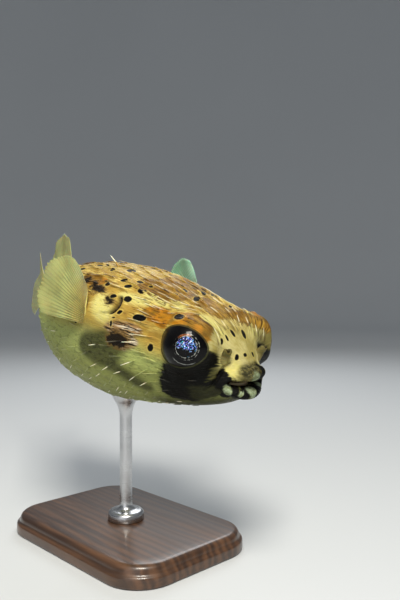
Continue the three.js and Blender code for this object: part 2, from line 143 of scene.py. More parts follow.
def new_mesh(name: str, points: Array, faces: Sequence[Sequence[int]], closed: bool = True) -> Piece:
    """Makes a smooth-shaded object from points in metres, with its faces outward.

    Args:
        name: the piece's name.
        points: one row for each vertex.
        faces: corner numbers of each face.
        closed: whether the faces close a volume, which tells outward from inward.

    Returns:
        The new object, linked to the scene.
    """
    points = np.asarray(points, float)
    fans = [(f[0], f[i], f[i + 1]) for f in faces for i in range(1, len(f) - 1)]
    a, b, c = (points[[fan[k] for fan in fans]] for k in range(3))
    if closed and np.sum(a * np.cross(b, c)) < 0:
        faces = [tuple(reversed(face)) for face in faces]
    mesh = bpy.data.meshes.new(name)
    mesh.from_pydata([tuple(p) for p in points.tolist()], [], [list(f) for f in faces])
    mesh.validate()
    mesh.update()
    mesh.polygons.foreach_set("use_smooth", [True] * len(mesh.polygons))
    made = bpy.data.objects.new(name, mesh)
    bpy.context.scene.collection.objects.link(made)
    return made


def write_attributes(target: Piece, **attributes: Array) -> None:
    """Stores numbers or vectors that materials read.

    Args:
        target: the object.
        attributes: for each attribute's name, an array with one row for each vertex.
    """
    for name, rows in attributes.items():
        values = np.asarray(rows, np.float32)
        kind = "FLOAT" if values.ndim == 1 else "FLOAT_VECTOR"
        slot = target.data.attributes.new(name, kind, "POINT")
        slot.data.foreach_set("value" if kind == "FLOAT" else "vector", values.ravel())


def ring_faces(rings: int, around: int, caps: bool = False) -> list[tuple[int, ...]]:
    """Quads between closed rings of points, with a flat face over either end where caps are wanted.

    Args:
        rings: how many rings there are.
        around: points in each ring.
        caps: whether both ends are closed.

    Returns:
        Corner numbers, all running the same way about the surface.
    """
    faces: list[tuple[int, ...]] = []
    for r in range(0, (rings - 1) * around, around):
        for i in range(around):
            j = (i + 1) % around
            faces.append((r + i, r + around + i, r + around + j, r + j))
    if caps:
        end = (rings - 1) * around
        faces += [tuple(range(around)), tuple(reversed(range(end, end + around)))]
    return faces


def grid_normals(grid: Array) -> Array:
    """Outward normals of a grid of rings that close on themselves."""
    along = np.gradient(grid, axis=0)
    across = np.roll(grid, -1, axis=1) - np.roll(grid, 1, axis=1)
    return unit(np.cross(along, across))


def dress(piece: Piece, material: Material, slot: str, *nodes: str) -> Piece:
    """Gives a finished piece its material and its place in the frame.

    Args:
        piece: the finished mesh object.
        material: its finish.
        slot: the record's slot that the finish belongs to; not used.
        nodes: the CAD nodes that the piece stands for.

    Returns:
        The same piece.
    """
    if not piece.data.materials:
        piece.data.materials.append(material)
    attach(piece, BODY)
    if nodes:
        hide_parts(*nodes)
    return piece


# --- the form of the fish


class Side(Enum):
    """The fish's two sides, as the sign of y."""

    LEFT = 1
    RIGHT = -1

    @property
    def word(self) -> str:
        """The side's name in pieces' names."""
        return self.name.lower()


@dataclass(frozen=True)
class Mouth:
    """Sizes of the lips and of the room inside them."""

    level: float = -6.2
    half_width: float = 7.6
    gap: float = 1.15
    upper_lip: float = 2.7
    lower_lip: float = 2.25
    corner_lip: float = 1.7
    reach: float = 3.1
    sweep: float = 5.5
    lower_set_back: float = 1.2
    depth: float = 12.0


@dataclass(frozen=True)
class EyeSocket:
    """Place of an eyeball, given for the left one, and of the ring of skin that it looks out of."""

    centre: Triple = (-20.2, 14.65, 4.4)
    right_axis: Triple = (0.32, -0.93, 0.07)
    left_axis: Triple = (0.06, 0.99, 0.07)
    radius: float = 9.5
    opening_along: float = 8.9
    opening_up: float = 7.0
    flesh: float = 0.35
    lid: float = 0.35
    brow: float = 0.7
    fillet: float = 9.0

    def centre_at(self, side: Side) -> Array:
        """The ball's centre on that side."""
        return np.array(self.centre) * [1, side.value, 1]

    def axis_at(self, side: Side) -> Array:
        """The direction out through the middle of the opening."""
        return unit(np.array(self.left_axis if side is Side.LEFT else self.right_axis))

    def seen_from(self, points: Array, side: Side) -> tuple[Array, Array, Array]:
        """Measures points as they are seen from the ball's centre.

        Args:
            points: places in the fish's frame.
            side: which eye.

        Returns:
            The distance outside the rim along the ball, the height along the axis, and how far the point lies
            towards the brow, from -1 to 1.
        """
        offset = points - self.centre_at(side)
        axis = self.axis_at(side)
        height = offset @ axis
        across = offset - height[..., None] * axis
        flat = np.maximum(np.hypot(across[..., 0], across[..., 2]), 1e-6)
        forward, up = across[..., 0] / flat, across[..., 2] / flat
        rim = 1.0 / np.hypot(forward / self.opening_along, up / self.opening_up)
        turn = np.arctan2(np.linalg.norm(across, axis=-1), height)
        return (turn - np.arcsin(rim / self.radius)) * self.radius, height, 0.85 * forward + 0.5 * up

    def wrapped(self, points: Array, side: Side) -> Array:
        """Wraps the skin round the ball: over it outside the rim, and tucked in under its surface inside.

        Args:
            points: places on the plain face.
            side: which eye.

        Returns:
            The places pushed out from the ball's centre.
        """
        away, _, towards_brow = self.seen_from(points, side)
        offset = points - self.centre_at(side)
        distance = np.maximum(np.linalg.norm(offset, axis=-1), 1e-6)
        brow = self.brow * smooth(towards_brow) * bell(away - 3.0, 4.0)
        outside = self.flesh - 0.3 + brow + self.lid * bell(away - 1.8, 1.5)
        hull = self.radius + 0.3 + outside * smooth(away) - 1.3 * smooth(-away / 1.3)
        near = np.maximum(self.fillet - np.abs(distance - hull), 0.0)
        eased = np.maximum(distance, hull) + near**2 / self.fillet / 4
        reach = blend(hull, eased, smooth(away, 0.3, 2.5))
        return self.centre_at(side) + offset * (reach / distance)[..., None]


@dataclass(frozen=True)
class Gill:
    """The crescent slot of a gill opening, bowed forwards round the root of the fin behind it."""

    station: float = 51.9
    level: float = 13.0
    height: float = 7.4
    width: float = 0.85
    bow: float = 2.0
    depth: float = 1.8
    flank: float = 18.0  # no opening is nearer to the middle plane than this

    def across(self, points: Array) -> tuple[Array, Array]:
        """Distance behind the slot's middle line, and the share of the slot's height from -1 to 1."""
        share = (points[..., 2] - self.level) / (self.height / 2)
        line = -self.station + self.bow * (1 - share**2)
        return line - points[..., 0], share


@dataclass(frozen=True)
class FishForm:
    """The smooth form under the coat: the lips, face, trunk and tail stalk as one run of rings."""

    length: float = 160.0
    mouth: Mouth = field(default_factory=Mouth)
    eye: EyeSocket = field(default_factory=EyeSocket)
    gill: Gill = field(default_factory=Gill)
    lobe_station: float = 59.0
    lobe_level: float = 10.0
    lobe_length: float = 9.0
    lobe_height: float = 9.0
    lobe_swell: float = 3.2
    bend_from: float = 80.0
    bend_radius: float = 290.0
    pitch: float = math.radians(9.2)
    clearance: float = 52.5
    base_thickness: float = 8.0
    rod_station: float = 70.0
    coat_depth: float = 0.8
    # station, half width, top, bottom, widest level, squareness, sweep
    stations: tuple[tuple[float, ...], ...] = (
        (4.2, 10.2, 1.4, -11.6, -6.0, 2.0, 5.2),
        (8, 12.8, 6.2, -13.8, -4.0, 2.1, 4.4),
        (14, 15.8, 12.0, -16.4, -1.4, 2.3, 2.8),
        (21, 18.8, 16.0, -18.8, 1.0, 2.5, 1.2),
        (34, 22.2, 19.8, -22.0, 1.8, 2.5, 0),
        (50, 25.4, 23.2, -25.6, 1.4, 2.4, 0),
        (68, 27.4, 25.2, -28.2, 0.8, 2.3, 0),
        (86, 27.0, 24.6, -27.4, 0.4, 2.2, 0),
        (102, 23.6, 22.0, -23.8, 0, 2.1, 0),
        (118, 17.2, 17.2, -17.6, 0.2, 2.0, 0),
        (132, 10.6, 12.2, -11.6, 0.3, 2.0, 0),
        (146, 5.8, 8.4, -7.6, 0.3, 2.0, 0),
        (160, 3.2, 6.6, -6.2, 0.2, 2.0, 0),
    )

    def body_rings(self, station: Array) -> Array:
        """Rings at each station: x, width, top, bottom, level, squareness, sweep and lower set-back."""
        station = np.asarray(station, float)
        rows = SmoothTable(self.stations)(station)
        set_back = self.mouth.lower_set_back * smooth((15 - station) / 10)
        return np.concatenate([-station[..., None], rows, set_back[..., None]], axis=-1)

    def lip_ring(self, roll: float) -> list[float]:
        """A ring of the lips. Roll 0 is the front of the lip and a quarter turn faces out."""
        m = self.mouth
        turn = math.radians(roll)

        def out(radius: float) -> float:
            """How far a roll of that radius stands out from the opening."""
            return radius * (1 + math.sin(turn))

        return [
            -m.reach + m.reach * math.cos(turn),
            m.half_width + out(m.corner_lip),
            m.level + m.gap + out(m.upper_lip),
            m.level - m.gap - out(m.lower_lip),
            m.level,
            2.0,
            m.sweep,
            m.lower_set_back,
        ]

    def mouth_ring(self, depth: float, width: float, half_height: float, sweep: float) -> list[float]:
        """A ring of the wall inside the mouth."""
        level = self.mouth.level
        return [-depth, width, level + half_height, level - half_height, level, 2.0, sweep, 0.0]

    def profile(self) -> SmoothTable:
        """All rings from inside the mouth to the end of the tail, keyed by the distance along the skin."""
        m = self.mouth
        rings = [
            self.mouth_ring(m.depth, 0.02, 0.02, 0.0),
            self.mouth_ring(m.depth - 0.8, 5.2, 2.8, 1.0),
            self.mouth_ring(m.depth - 4.8, 7.8, 4.2, 4.4),
            *[self.lip_ring(roll) for roll in range(-135, 91, 15)],
            *self.body_rings(np.arange(4.6, self.length, 1.5)).tolist(),
            *self.body_rings(np.array([self.length])).tolist(),
            [-self.length - 0.9, 2.4, 5.4, -5.0, 0.2, 2.0, 0.0, 0.0],
            [-self.length - 1.3, 0.02, 0.22, 0.18, 0.2, 2.0, 0.0, 0.0],
        ]
        rings = np.array(rings)
        steps = np.abs(np.diff(rings[:, :4], axis=0))
        walk = np.maximum(np.hypot(steps[:, 0], steps[:, 2]), np.hypot(steps[:, 0], steps[:, 3]))
        key = np.concatenate([[0.0], np.cumsum(np.maximum(walk, steps[:, 1]))])
        return SmoothTable(np.column_stack([key, rings]))

    def ring_points(self, rings: Array, angles: Array) -> Array:
        """Points of rings at each angle, from the fish's left at 0 over its back at a quarter turn.

        Args:
            rings: one row of ring sizes for each place.
            angles: one angle for each place, or an axis of them.

        Returns:
            Places in the fish's frame, with the swellings round the eyes and fins.
        """
        x, width, top, bottom, level, square, sweep, set_back = np.moveaxis(rings, -1, 0)
        c, s = np.cos(angles), np.sin(angles)
        power = 2.0 / square
        across = np.sign(c) * np.abs(c) ** power
        along = np.sign(s) * np.abs(s) ** power
        height = np.where(s > 0, top - level, level - bottom)
        back = sweep * c * c + set_back * (1 - s) / 2
        points = np.stack([x - back, width * across, level + height * along], axis=-1)
        return self.with_lobes(self.with_eye_mounds(points))

    def with_eye_mounds(self, points: Array) -> Array:
        """Wraps the face round each eyeball."""
        shaped = points.copy()
        for side in Side:
            own = (np.sign(points[..., 1]) == side.value) | ((side is Side.LEFT) & (points[..., 1] == 0))
            shaped = np.where(own[..., None], self.eye.wrapped(points, side), shaped)
        return shaped

    def with_lobes(self, points: Array) -> Array:
        """Swells each flank into the fleshy root of the pectoral fin."""
        swell = self.lobe_swell * bell(-points[..., 0] - self.lobe_station, self.lobe_length)
        swell = swell * bell(points[..., 2] - self.lobe_level, self.lobe_height)
        shaped = points.copy()
        shaped[..., 1] += np.sign(points[..., 1]) * swell * smooth(np.abs(points[..., 1]) / 15)
        return shaped

    def surface(self, station: Array, angle: Array) -> tuple[Array, Array]:
        """Places on the smooth skin and the normals there.

        Args:
            station: distance back from the lips.
            angle: turn round the body.

        Returns:
            The places and the outward normals, in the fish's frame.
        """
        step = 0.05

        def at(ds: float, da: float) -> Array:
            """The place a little further along or round."""
            return self.ring_points(self.body_rings(station + ds), angle + da)

        along = at(step, 0) - at(-step, 0)
        around = at(0, step / 10) - at(0, -step / 10)
        return at(0, 0), unit(np.cross(along, around))

    def origin(self) -> Array:
        """Where the fish's own origin lies in the row frame, so that the belly is over the rod."""
        bottom = float(SmoothTable(self.stations)(self.rod_station)[2]) - self.coat_depth
        belly = self.tipped(np.array([[-self.rod_station, 0.0, bottom]]))[0]
        return np.array([0.0, 0.0, self.base_thickness + self.clearance]) - belly

    def tipped(self, points: Array) -> Array:
        """Points turned nose-down about the Y axis."""
        c, s = math.cos(self.pitch), math.sin(self.pitch)
        x, y, z = np.moveaxis(points, -1, 0)
        return np.stack([x * c + z * s, y, z * c - x * s], axis=-1)

    def posed(self, points: Array) -> Array:
        """Curves the rear to the left, tips the fish nose-down and gives the row frame's metres."""
        x, y, z = np.moveaxis(np.asarray(points, float), -1, 0)
        past = np.maximum(-x - self.bend_from, 0.0)
        turn = past / self.bend_radius
        radius = self.bend_radius - y
        bent_x = np.where(past > 0, -self.bend_from - radius * np.sin(turn), x)
        bent_y = np.where(past > 0, self.bend_radius - radius * np.cos(turn), y)
        return (self.tipped(np.stack([bent_x, bent_y, z], axis=-1)) + self.origin()) * MM


# --- the markings


@dataclass(frozen=True)
class Mark:
    """An oval of pigment: station, left offset and height of its middle, half sizes and turn from the lie."""

    station: float
    y: float
    z: float
    half_length: float
    half_width: float
    turn: float = 0.0

    def mirrored(self) -> "Mark":
        """The same mark on the other side, a little off its twin's place."""
        shift = 0.8 * math.sin(7.3 * self.station + 3.1 * self.z)
        sizes = self.half_length, self.half_width
        return Mark(self.station + shift, -self.y, self.z - shift / 2, *sizes, -self.turn)


def marks(*rows: tuple[float, ...], both: bool = True) -> tuple[Mark, ...]:
    """Marks from rows of numbers, with their twins on the other side where both is set."""
    own = [Mark(*row) for row in rows]
    return tuple(own + [m.mirrored() for m in own if both and abs(m.y) > 6.5])


SPOTS = marks(
    (82.5, -10, 23.6, 1.8, 0.9, -4), (78.1, -8.4, 24.2, 1.6, 0.9, -15),
    (70.5, -12.3, 23.4, 1.5, 1, -31), (63.3, -8.7, 24.3, 2.3, 1.7, -6),
    (57.5, -16.5, 21.1, 1.4, 1.1, 34), (51.7, -13.4, 21.5, 1.5, 0.8, 8),
    (52.8, -17.9, 19.5, 1.5, 1, 26), (61.5, -20.9, 19, 1.3, 1.1, -14),
    (46, -17.2, 18.5, 1.7, 0.8, -8), (44.6, -15.6, 19.1, 0.9, 0.4, 23),
    (45.7, -13, 20.6, 1, 0.6, -2), (48, -21.2, 15.7, 1.7, 1.3, -9),
    (53.9, -23.4, 15.5, 1.4, 0.9, 11), (48, -24.3, 10.9, 1.1, 0.6, 43),
    (39.4, -22.1, 10.4, 2.9, 1.3, 10), (22.8, -18.4, 14, 2.8, 1.6, -14),
    (32, -21.6, 1.1, 1.4, 1.3, -70), (49.8, -25.7, 8.6, 0.8, 0.35, 14),
    (50, -26.1, 6.2, 1.2, 0.45, -81), (88, -15, 21.5, 1.8, 1, 5), (84.5, -20.5, 16.8, 1.5, 1, -8),
    (76, -22, 16.2, 1.7, 1, 8), (93.5, -19, 15.5, 1.6, 1), (90, -23.4, 9.5, 1.4, 1, 10),
    (80, -26, 8.6, 1.3, 0.9), (99, -13.5, 19, 1.5, 0.9), (101, -20.5, 8.5, 1.3, 0.9, 12),
    (95, -7.5, 22.6, 1.4, 0.9), (108, -16.5, 11.5, 1.4, 0.8), (112, -12.5, 14.2, 1.2, 0.8),
    (118.5, -13.8, 8, 1.2, 0.8), (126, -10.5, 6.8, 1.1, 0.7), (133, -7, 7.8, 1, 0.6),
    (139.5, -6.8, 3.5, 0.9, 0.6), (70.5, -26.8, 3.4, 1.2, 0.8),
) + marks(
    (29.9, -4, 18.7, 2.3, 1.2, -55), (34.6, 3.9, 19.9, 2.7, 1.1, -37),
    (37, -3.2, 20.5, 1.8, 1, -32), (35.9, -9.4, 19.4, 1, 0.6, 11), (23.4, 7.1, 16.7, 1.3, 0.7, -49),
    (34.3, 7.9, 19.3, 1.7, 0.6, -50), (10.6, -9.1, 7.7, 1.1, 0.6, -21),
    (10.9, -6.3, 8.7, 1.2, 0.42, -3), (11.5, -3, 9.9, 1.6, 0.72, 7), (11, 2.2, 9.4, 1.9, 0.85, -6),
    (6.6, -4.7, 2.7, 1.1, 0.7, -70), (5.8, -1.6, 3.3, 0.75, 0.65, -58),
    (6.1, 2.7, 3.2, 1.1, 0.65, 14), (64.5, 3.5, 25.2, 1.3, 0.9), (71.5, 3.2, 25.4, 1.5, 0.9, 10),
    (55, 5, 23.9, 1.3, 0.9, -10), (86.5, -4, 24.4, 1.5, 0.9), (146.5, -4.6, 5.2, 0.8, 0.5),
    both=False,
)

SADDLES = marks(
    (40.5, -4.4, 21.2, 12.5, 8.6, -53), (47, -12.6, 21.2, 6.2, 4.4, -8),
    (23.7, -2.3, 17, 8.2, 5.5, -12), (16.2, -16, 13.6, 4.2, 2, 10), (13.2, -13.6, 12, 1.8, 1.6, 40),
    (17, 7, 14.8, 4, 7, -20), (13.6, 14.6, 12, 3, 4, -35), (46, 8, 22.6, 9, 5.5),
    (74.5, -19, 19.4, 6, 2.6), (92, 3, 23.4, 7.5, 6, 20), (98.5, -4, 22.4, 7, 5, -15),
    (101, 5.5, 21.6, 5, 4, 30), (131, 0, 12.2, 9, 7),
    both=False,
)

AMBER = marks(
    (33.6, -19.7, 12.8, 6, 3.2, 9), (18.4, -18, 14.4, 8.8, 4, 10), (28.5, -19.6, 12, 5, 3, 8),
    (13.4, -15.3, 12.8, 3.7, 2.5, 84), (70.4, -19.9, 19.2, 8, 2.6, 1),
)

EYE_PATCH = marks(
    (19.4, -17.1, -8.2, 10.6, 7.4, 39), (19.5, -20, -3.4, 5.6, 3, 5), (12.4, -16.2, -1.4, 4.4, 3.4, 75),
    (9.9, -13.6, 1.4, 3.2, 2.2, 85), (15.8, -12.5, -11.8, 5.8, 3.6, 18),
    (10.4, -9.8, -8.6, 3.9, 2.6, 60),
) + marks((9.8, 12.4, 2.6, 3.0, 2.0, 60), (9.8, 9.9, 4.4, 1.2, 0.8, 60), both=False)

BLOTCHES = marks(
    (63.6, -23.5, 16.8, 4.2, 1.3, -8), (76, -20.4, 18.3, 1.8, 1.2, -6), (69, -21.4, 18.1, 1.6, 0.7, 8),
    (54.2, -24.5, 14.3, 1.7, 0.8, -12), (46.8, -25.1, 0.6, 4.2, 2.2, -1), (131, -3.5, 11.2, 7.5, 3.2),
    (137.5, -3.5, 8.2, 4.5, 2.2),
)

GILL_STREAKS = marks((44.8, -24.9, 5.4, 8.0, 2.6, 5), (43.0, -24.4, 1.4, 5.0, 2.4, 8))
LIP_BLACK = marks(
    (6.4, -9.4, -5.6, 3.4, 2.3, 60), (4.8, -7.8, -8.6, 4.4, 2.4, 70), (2.4, -3.2, -9.2, 4.8, 2.4, 85),
    (2.6, 2.6, -8.2, 4.6, 2.6, 85), (4.6, 7, -7.4, 4, 3, 80), (0.9, 3.9, -2, 3.4, 2, 70),
    (0.2, 1.2, -4.4, 3.2, 0.9, 80),
    both=False,
)
LIP_PALE = marks(
    (5.3, -8.7, -8.2, 2.1, 1.5, -65), (2.5, -4.8, -9.4, 1.1, 0.9, 60), (2.3, -0.4, -8.1, 2.4, 2, 48),
    (0.2, -0.9, -3, 1.9, 1.5, 53), (5.4, 6.2, -8.6, 1.8, 1.3, 60),
    both=False,
)
SHADE_FLANK = marks(
    (53.5, -25.9, -1.6, 7.5, 4.8, 20), (61, -26.8, -3.6, 7, 5, 20), (45.5, -24.6, -0.6, 3.4, 3),
    (49.6, -25.1, -4.2, 3.4, 2.8, 20), (55.5, -25.6, -7.2, 6, 3.2, 15), (50.5, -24.4, -8.8, 3, 2.4),
    (46.2, -23.3, -10.4, 3, 1.9), (42.2, -22.1, -12, 2.8, 1.8), (38.4, -20.7, -13.4, 2.8, 1.7),
    (34.8, -19.1, -14.6, 2.6, 1.5), (10.7, -11.9, -3, 3.4, 2.8, 60), (12, -13.6, -4.6, 3, 2.4, 60),
)
SHADE_BROW = marks(
    (10.9, 12.4, 8.6, 4.2, 4.4), (12, 16.4, 10.2, 4, 4.4), (10.6, 14.4, 3, 3, 2.4),
    (13.8, 17.4, 12.4, 3.4, 3), (13.6, -14.6, 9.4, 1.6, 3, 30),
    both=False,
)
SNOUT_DARK = marks(
    (2, -3.4, -0.9, 4, 3, 75), (1, 0.4, -0.8, 3.6, 3.2, 80), (1.8, 3.6, -0.2, 3.8, 3.2, 80),
    both=False,
)
# pale cream patches on the snout, forehead, flank and fin root, partly pigment and partly painted highlight
CREAM_HIGHLIGHTS = marks(
    (6.3, -8.3, -2, 3.2, 2.5, 10), (4.6, -6.2, 0.2, 2.4, 1.5), (17, -10.8, 11, 4.6, 2.4, 35),
    (46, -19.4, 15.4, 7.5, 2, 4), (55.5, -27.1, 11.6, 6.2, 4.2, -43), (12.4, -9.2, 10.4, 3.6, 2.4, 60),
    (38, -16.4, 17.2, 7, 1.8, -4), (28.5, -14, 17.6, 4.5, 1.6, -14),
)


class Markings:
    """Measures every marking at places on the skin, for the skin and for the spines alike."""

    def __init__(self, form: FishForm, points: Array, normals: Array) -> None:
        """Keeps the skin that marks are laid on.

        Args:
            form: the fish's form.
            points: vertices of the skin in the fish's frame.
            normals: their outward normals.
        """
        self.form = form
        self.points = points
        self.normals = normals

    def edge(self, places: Array, group: Sequence[Mark], merge: float = 0.15) -> Array:
        """The distance outside the nearest mark's edge, negative inside.

        Args:
            places: places in the fish's frame.
            group: the marks.
            merge: how far apart two marks may be and still flow together.

        Returns:
            One distance in millimetres for each place, no more than 12.
        """
        pooled = np.full(len(places), math.exp(-12.0 / merge))
        for mark in group:
            middle = np.array([-mark.station, mark.y, mark.z])
            i = int(np.argmin(((self.points - middle) ** 2).sum(axis=1)))
            middle, normal = self.points[i], self.normals[i]
            lie = unit(np.array([-1.0, 0.0, 0.0]) + normal * normal[0])
            side = np.cross(normal, lie)
            turn = math.radians(mark.turn)
            first = lie * math.cos(turn) + side * math.sin(turn)
            second = side * math.cos(turn) - lie * math.sin(turn)
            offset = places - middle
            u, v, w = offset @ first, offset @ second, np.abs(offset @ normal)
            ratio = np.maximum(np.hypot(u / mark.half_length, v / mark.half_width), 1e-3)
            distance = (1 - 1 / ratio) * np.hypot(u, v)
            distance = np.where(ratio < 0.2, -0.8 * mark.half_width, distance)
            reach = 0.6 * max(mark.half_length, mark.half_width) + 1.5
            distance = distance + np.maximum(w - reach, 0) * 1.5
            pooled += np.exp(-np.clip(distance, -8, 40) / merge)
        return np.minimum(-merge * np.log(pooled), 12.0)

    def cover(
        self, places: Array, group: Sequence[Mark], inner: float, width: float, merge: float = 0.15
    ) -> Array:
        """How far marks cover each place.

        Args:
            places: places in the fish's frame.
            group: the marks.
            inner: how far inside an edge the cover is full.
            width: how far from there it takes to fade to nothing.
            merge: how far apart two marks may be and still flow together.

        Returns:
            A share from 0 to 1 for each place.
        """
        return 1 - smooth(self.edge(places, group, merge), -inner, width)

    def measure(self, places: Array, inside: Array | None = None) -> dict[str, Array]:
        """All markings, painted shade and painted highlights at places on the skin.

        Args:
            places: places in the fish's frame.
            inside: how far each place lies inside the mouth, from 0 to 1.

        Returns:
            An array for each attribute that the materials read, by name.
        """
        station, y, z = -places[:, 0], places[:, 1], places[:, 2]
        rings = self.form.body_rings(np.clip(station, 4.6, 160))
        top, bottom = rings[:, 2], rings[:, 3]
        level = (z - bottom) / (top - bottom)
        cheek_top = 0.42 + 0.06 * smooth(station, 32, 10)
        return {
            "spot_edge": self.edge(places, SPOTS),
            "saddle_edge": self.edge(places, SADDLES, 1.0),
            "amber": self.cover(places, AMBER, 1.4, 2.8),
            "patch_edge": self.edge(places, EYE_PATCH, 0.9),
            "blotch_edge": self.edge(places, BLOTCHES, 0.6),
            "gill_streak": self.cover(places, GILL_STREAKS, 1.0, 2.5),
            "lip_black": self.edge(places, LIP_BLACK, 0.5),
            "lip_pale": self.edge(places, LIP_PALE),
            "snout_dark": self.cover(places, SNOUT_DARK, 1.4, 2.2, 0.6),
            "cream_highlight": self.cover(places, CREAM_HIGHLIGHTS, 2.0, 4.0),
            "shade": np.maximum(
                self.cover(places, SHADE_FLANK, 1.8, 3.6, 1.5),
                0.7 * self.cover(places, SHADE_BROW, 2.0, 4.0, 1.0),
            ),
            "face": (1 - smooth(station, 10, 12)) * smooth(level, 0.35, 0.2),
            # painted shade: belly, cheek and under mark the lower body, which the paint makes grey-green,
            # olive and near black towards the bottom
            "belly": 1 - smooth(level, 0.24, 0.24),
            "cheek": (1 - smooth(level, cheek_top, 0.2)) * smooth(station, 8, 8),
            "under": (1 - smooth(level, 0.04, 0.16)) * (1 - 0.75 * smooth(station, 30, 12)),
            "streak": smooth(level, 0.62, 0.2) * smooth(station, 9, 6) * (1 - 0.5 * smooth(station, 90, 40)),
            "throat": smooth((26 - station) / 12) * (1 - smooth(level, 0.22, 0.2)),
            # distance outside each eye's rim, read for the painted shade round the eyes
            "lid": np.minimum(12.0, np.minimum(*(self.form.eye.seen_from(places, side)[0] for side in Side))),
            "inside": np.zeros(len(places)) if inside is None else inside,
        }


# --- building materials


def rgba(colour: Colour) -> tuple[float, float, float, float]:
    """The colour with full opacity."""
    return (*colour, 1.0)


class NodeKit:
    """Short words for building a node tree."""

    def __init__(self, tree: bpy.types.NodeTree) -> None:
        """Keeps the tree that nodes are added to."""
        self.tree = tree

    def add(self, kind: str, **settings: object) -> Node:
        """A new node with its settings."""
        node = self.tree.nodes.new(kind)
        for name, value in settings.items():
            setattr(node, name, value)
        return node

    def put(self, target: Socket, value: object) -> None:
        """Links a socket to the target, or sets the target's own value."""
        if isinstance(value, Socket):
            self.tree.links.new(value, target)
        else:
            target.default_value = value

    def feed(self, node: Node, **values: object) -> Node:
        """Puts values or sockets into a node's inputs, with underscores for the spaces in their names."""
        for name, value in values.items():
            self.put(node.inputs[name.replace("_", " ")], value)
        return node

    def attribute(self, name: str, vector: bool = False) -> Socket:
        """The vertices' own number or vector of that name."""
        node = self.add("ShaderNodeAttribute", attribute_name=name)
        return node.outputs["Vector" if vector else "Fac"]

    def place(self) -> Socket:
        """The place on the object in metres."""
        return self.add("ShaderNodeTexCoord").outputs["Object"]

    def scaled(self, vector: Socket, scale: Sequence[float], offset: Sequence[float] = (0, 0, 0)) -> Socket:
        """The vector stretched by a scale for each axis, and moved."""
        node = self.add("ShaderNodeMapping")
        return self.feed(node, Vector=vector, Scale=scale, Location=offset).outputs["Vector"]

    def drift(self, vector: Socket, scale: float, amount: float) -> Socket:
        """A small random shift in three directions."""
        node = self.feed(self.add("ShaderNodeTexNoise"), Vector=vector, Scale=scale)
        shift = self.add("ShaderNodeVectorMath", operation="SCALE")
        return self.feed(shift, Vector=node.outputs["Color"], Scale=amount).outputs["Vector"]

    def noise(
        self, vector: Socket, scale: float, detail: float = 3.0, rough: float = 0.55, twist: float = 0.0
    ) -> Socket:
        """Cloudy noise about 0.5."""
        node = self.add("ShaderNodeTexNoise")
        self.feed(node, Vector=vector, Scale=scale, Detail=detail, Roughness=rough, Distortion=twist)
        return node.outputs["Fac"]

    def cells(self, vector: Socket, scale: float, feature: str = "F1") -> Node:
        """A pattern of cells."""
        return self.feed(self.add("ShaderNodeTexVoronoi", feature=feature), Vector=vector, Scale=scale)

    def math(self, operation: str, a: Number, b: Number = 0.0) -> Socket:
        """Arithmetic on one or two numbers."""
        node = self.add("ShaderNodeMath", operation=operation)
        self.put(node.inputs[0], a)
        self.put(node.inputs[1], b)
        return node.outputs[0]

    def plus(self, a: Number, b: Number) -> Socket:
        """The sum of two numbers."""
        return self.math("ADD", a, b)

    def times(self, a: Number, b: Number) -> Socket:
        """The product of two numbers."""
        return self.math("MULTIPLY", a, b)

    def centred(self, cloud: Socket, size: float) -> Socket:
        """Noise moved down to lie about zero, and stretched to a size."""
        return self.times(self.math("SUBTRACT", cloud, 0.5), size)

    def ease(self, value: Socket, start: float, end: float, low: float = 0.0, high: float = 1.0) -> Socket:
        """Goes smoothly from low to high as the value goes from start to end."""
        node = self.add("ShaderNodeMapRange", interpolation_type="SMOOTHSTEP")
        self.feed(node, Value=value, From_Min=start, From_Max=end, To_Min=low, To_Max=high)
        return node.outputs["Result"]

    def mix(self, share: Number, a: "Socket | Colour", b: "Socket | Colour") -> Socket:
        """A colour between a and b."""
        node = self.add("ShaderNodeMix", data_type="RGBA", clamp_factor=True)
        self.put(node.inputs[0], share)
        for target, value in ((node.inputs[6], a), (node.inputs[7], b)):
            self.put(target, value if isinstance(value, Socket) else rgba(value))
        return node.outputs[2]

    def ramp(self, value: Socket, stops: Sequence[tuple[float, Colour]]) -> Socket:
        """A colour from a ramp."""
        node = self.add("ShaderNodeValToRGB")
        self.put(node.inputs[0], value)
        points = node.color_ramp.elements
        while len(points) < len(stops):
            points.new(1.0)
        for point, (at, colour) in zip(points, stops):
            point.position = at
            point.color = rgba(colour)
        return node.outputs[0]

    def bump(self, height: Socket, depth: float, strength: float, under: Socket | None = None) -> Socket:
        """A normal bent by a height from 0 to 1 times the depth in metres."""
        node = self.feed(self.add("ShaderNodeBump"), Height=height, Distance=depth, Strength=strength)
        if under is not None:
            self.feed(node, Normal=under)
        return node.outputs["Normal"]


class MaterialKit(NodeKit):
    """The node tree of a new material, with its principled shader."""

    def __init__(self, name: str) -> None:
        """Makes the material and gives it its name."""
        self.material = bpy.data.materials.new(name)
        self.material.use_nodes = True
        super().__init__(self.material.node_tree)
        self.shader = self.tree.nodes["Principled BSDF"]

    def finish(self, **values: object) -> Material:
        """Feeds the shader, and gives the finished material."""
        self.feed(self.shader, **values)
        return self.material


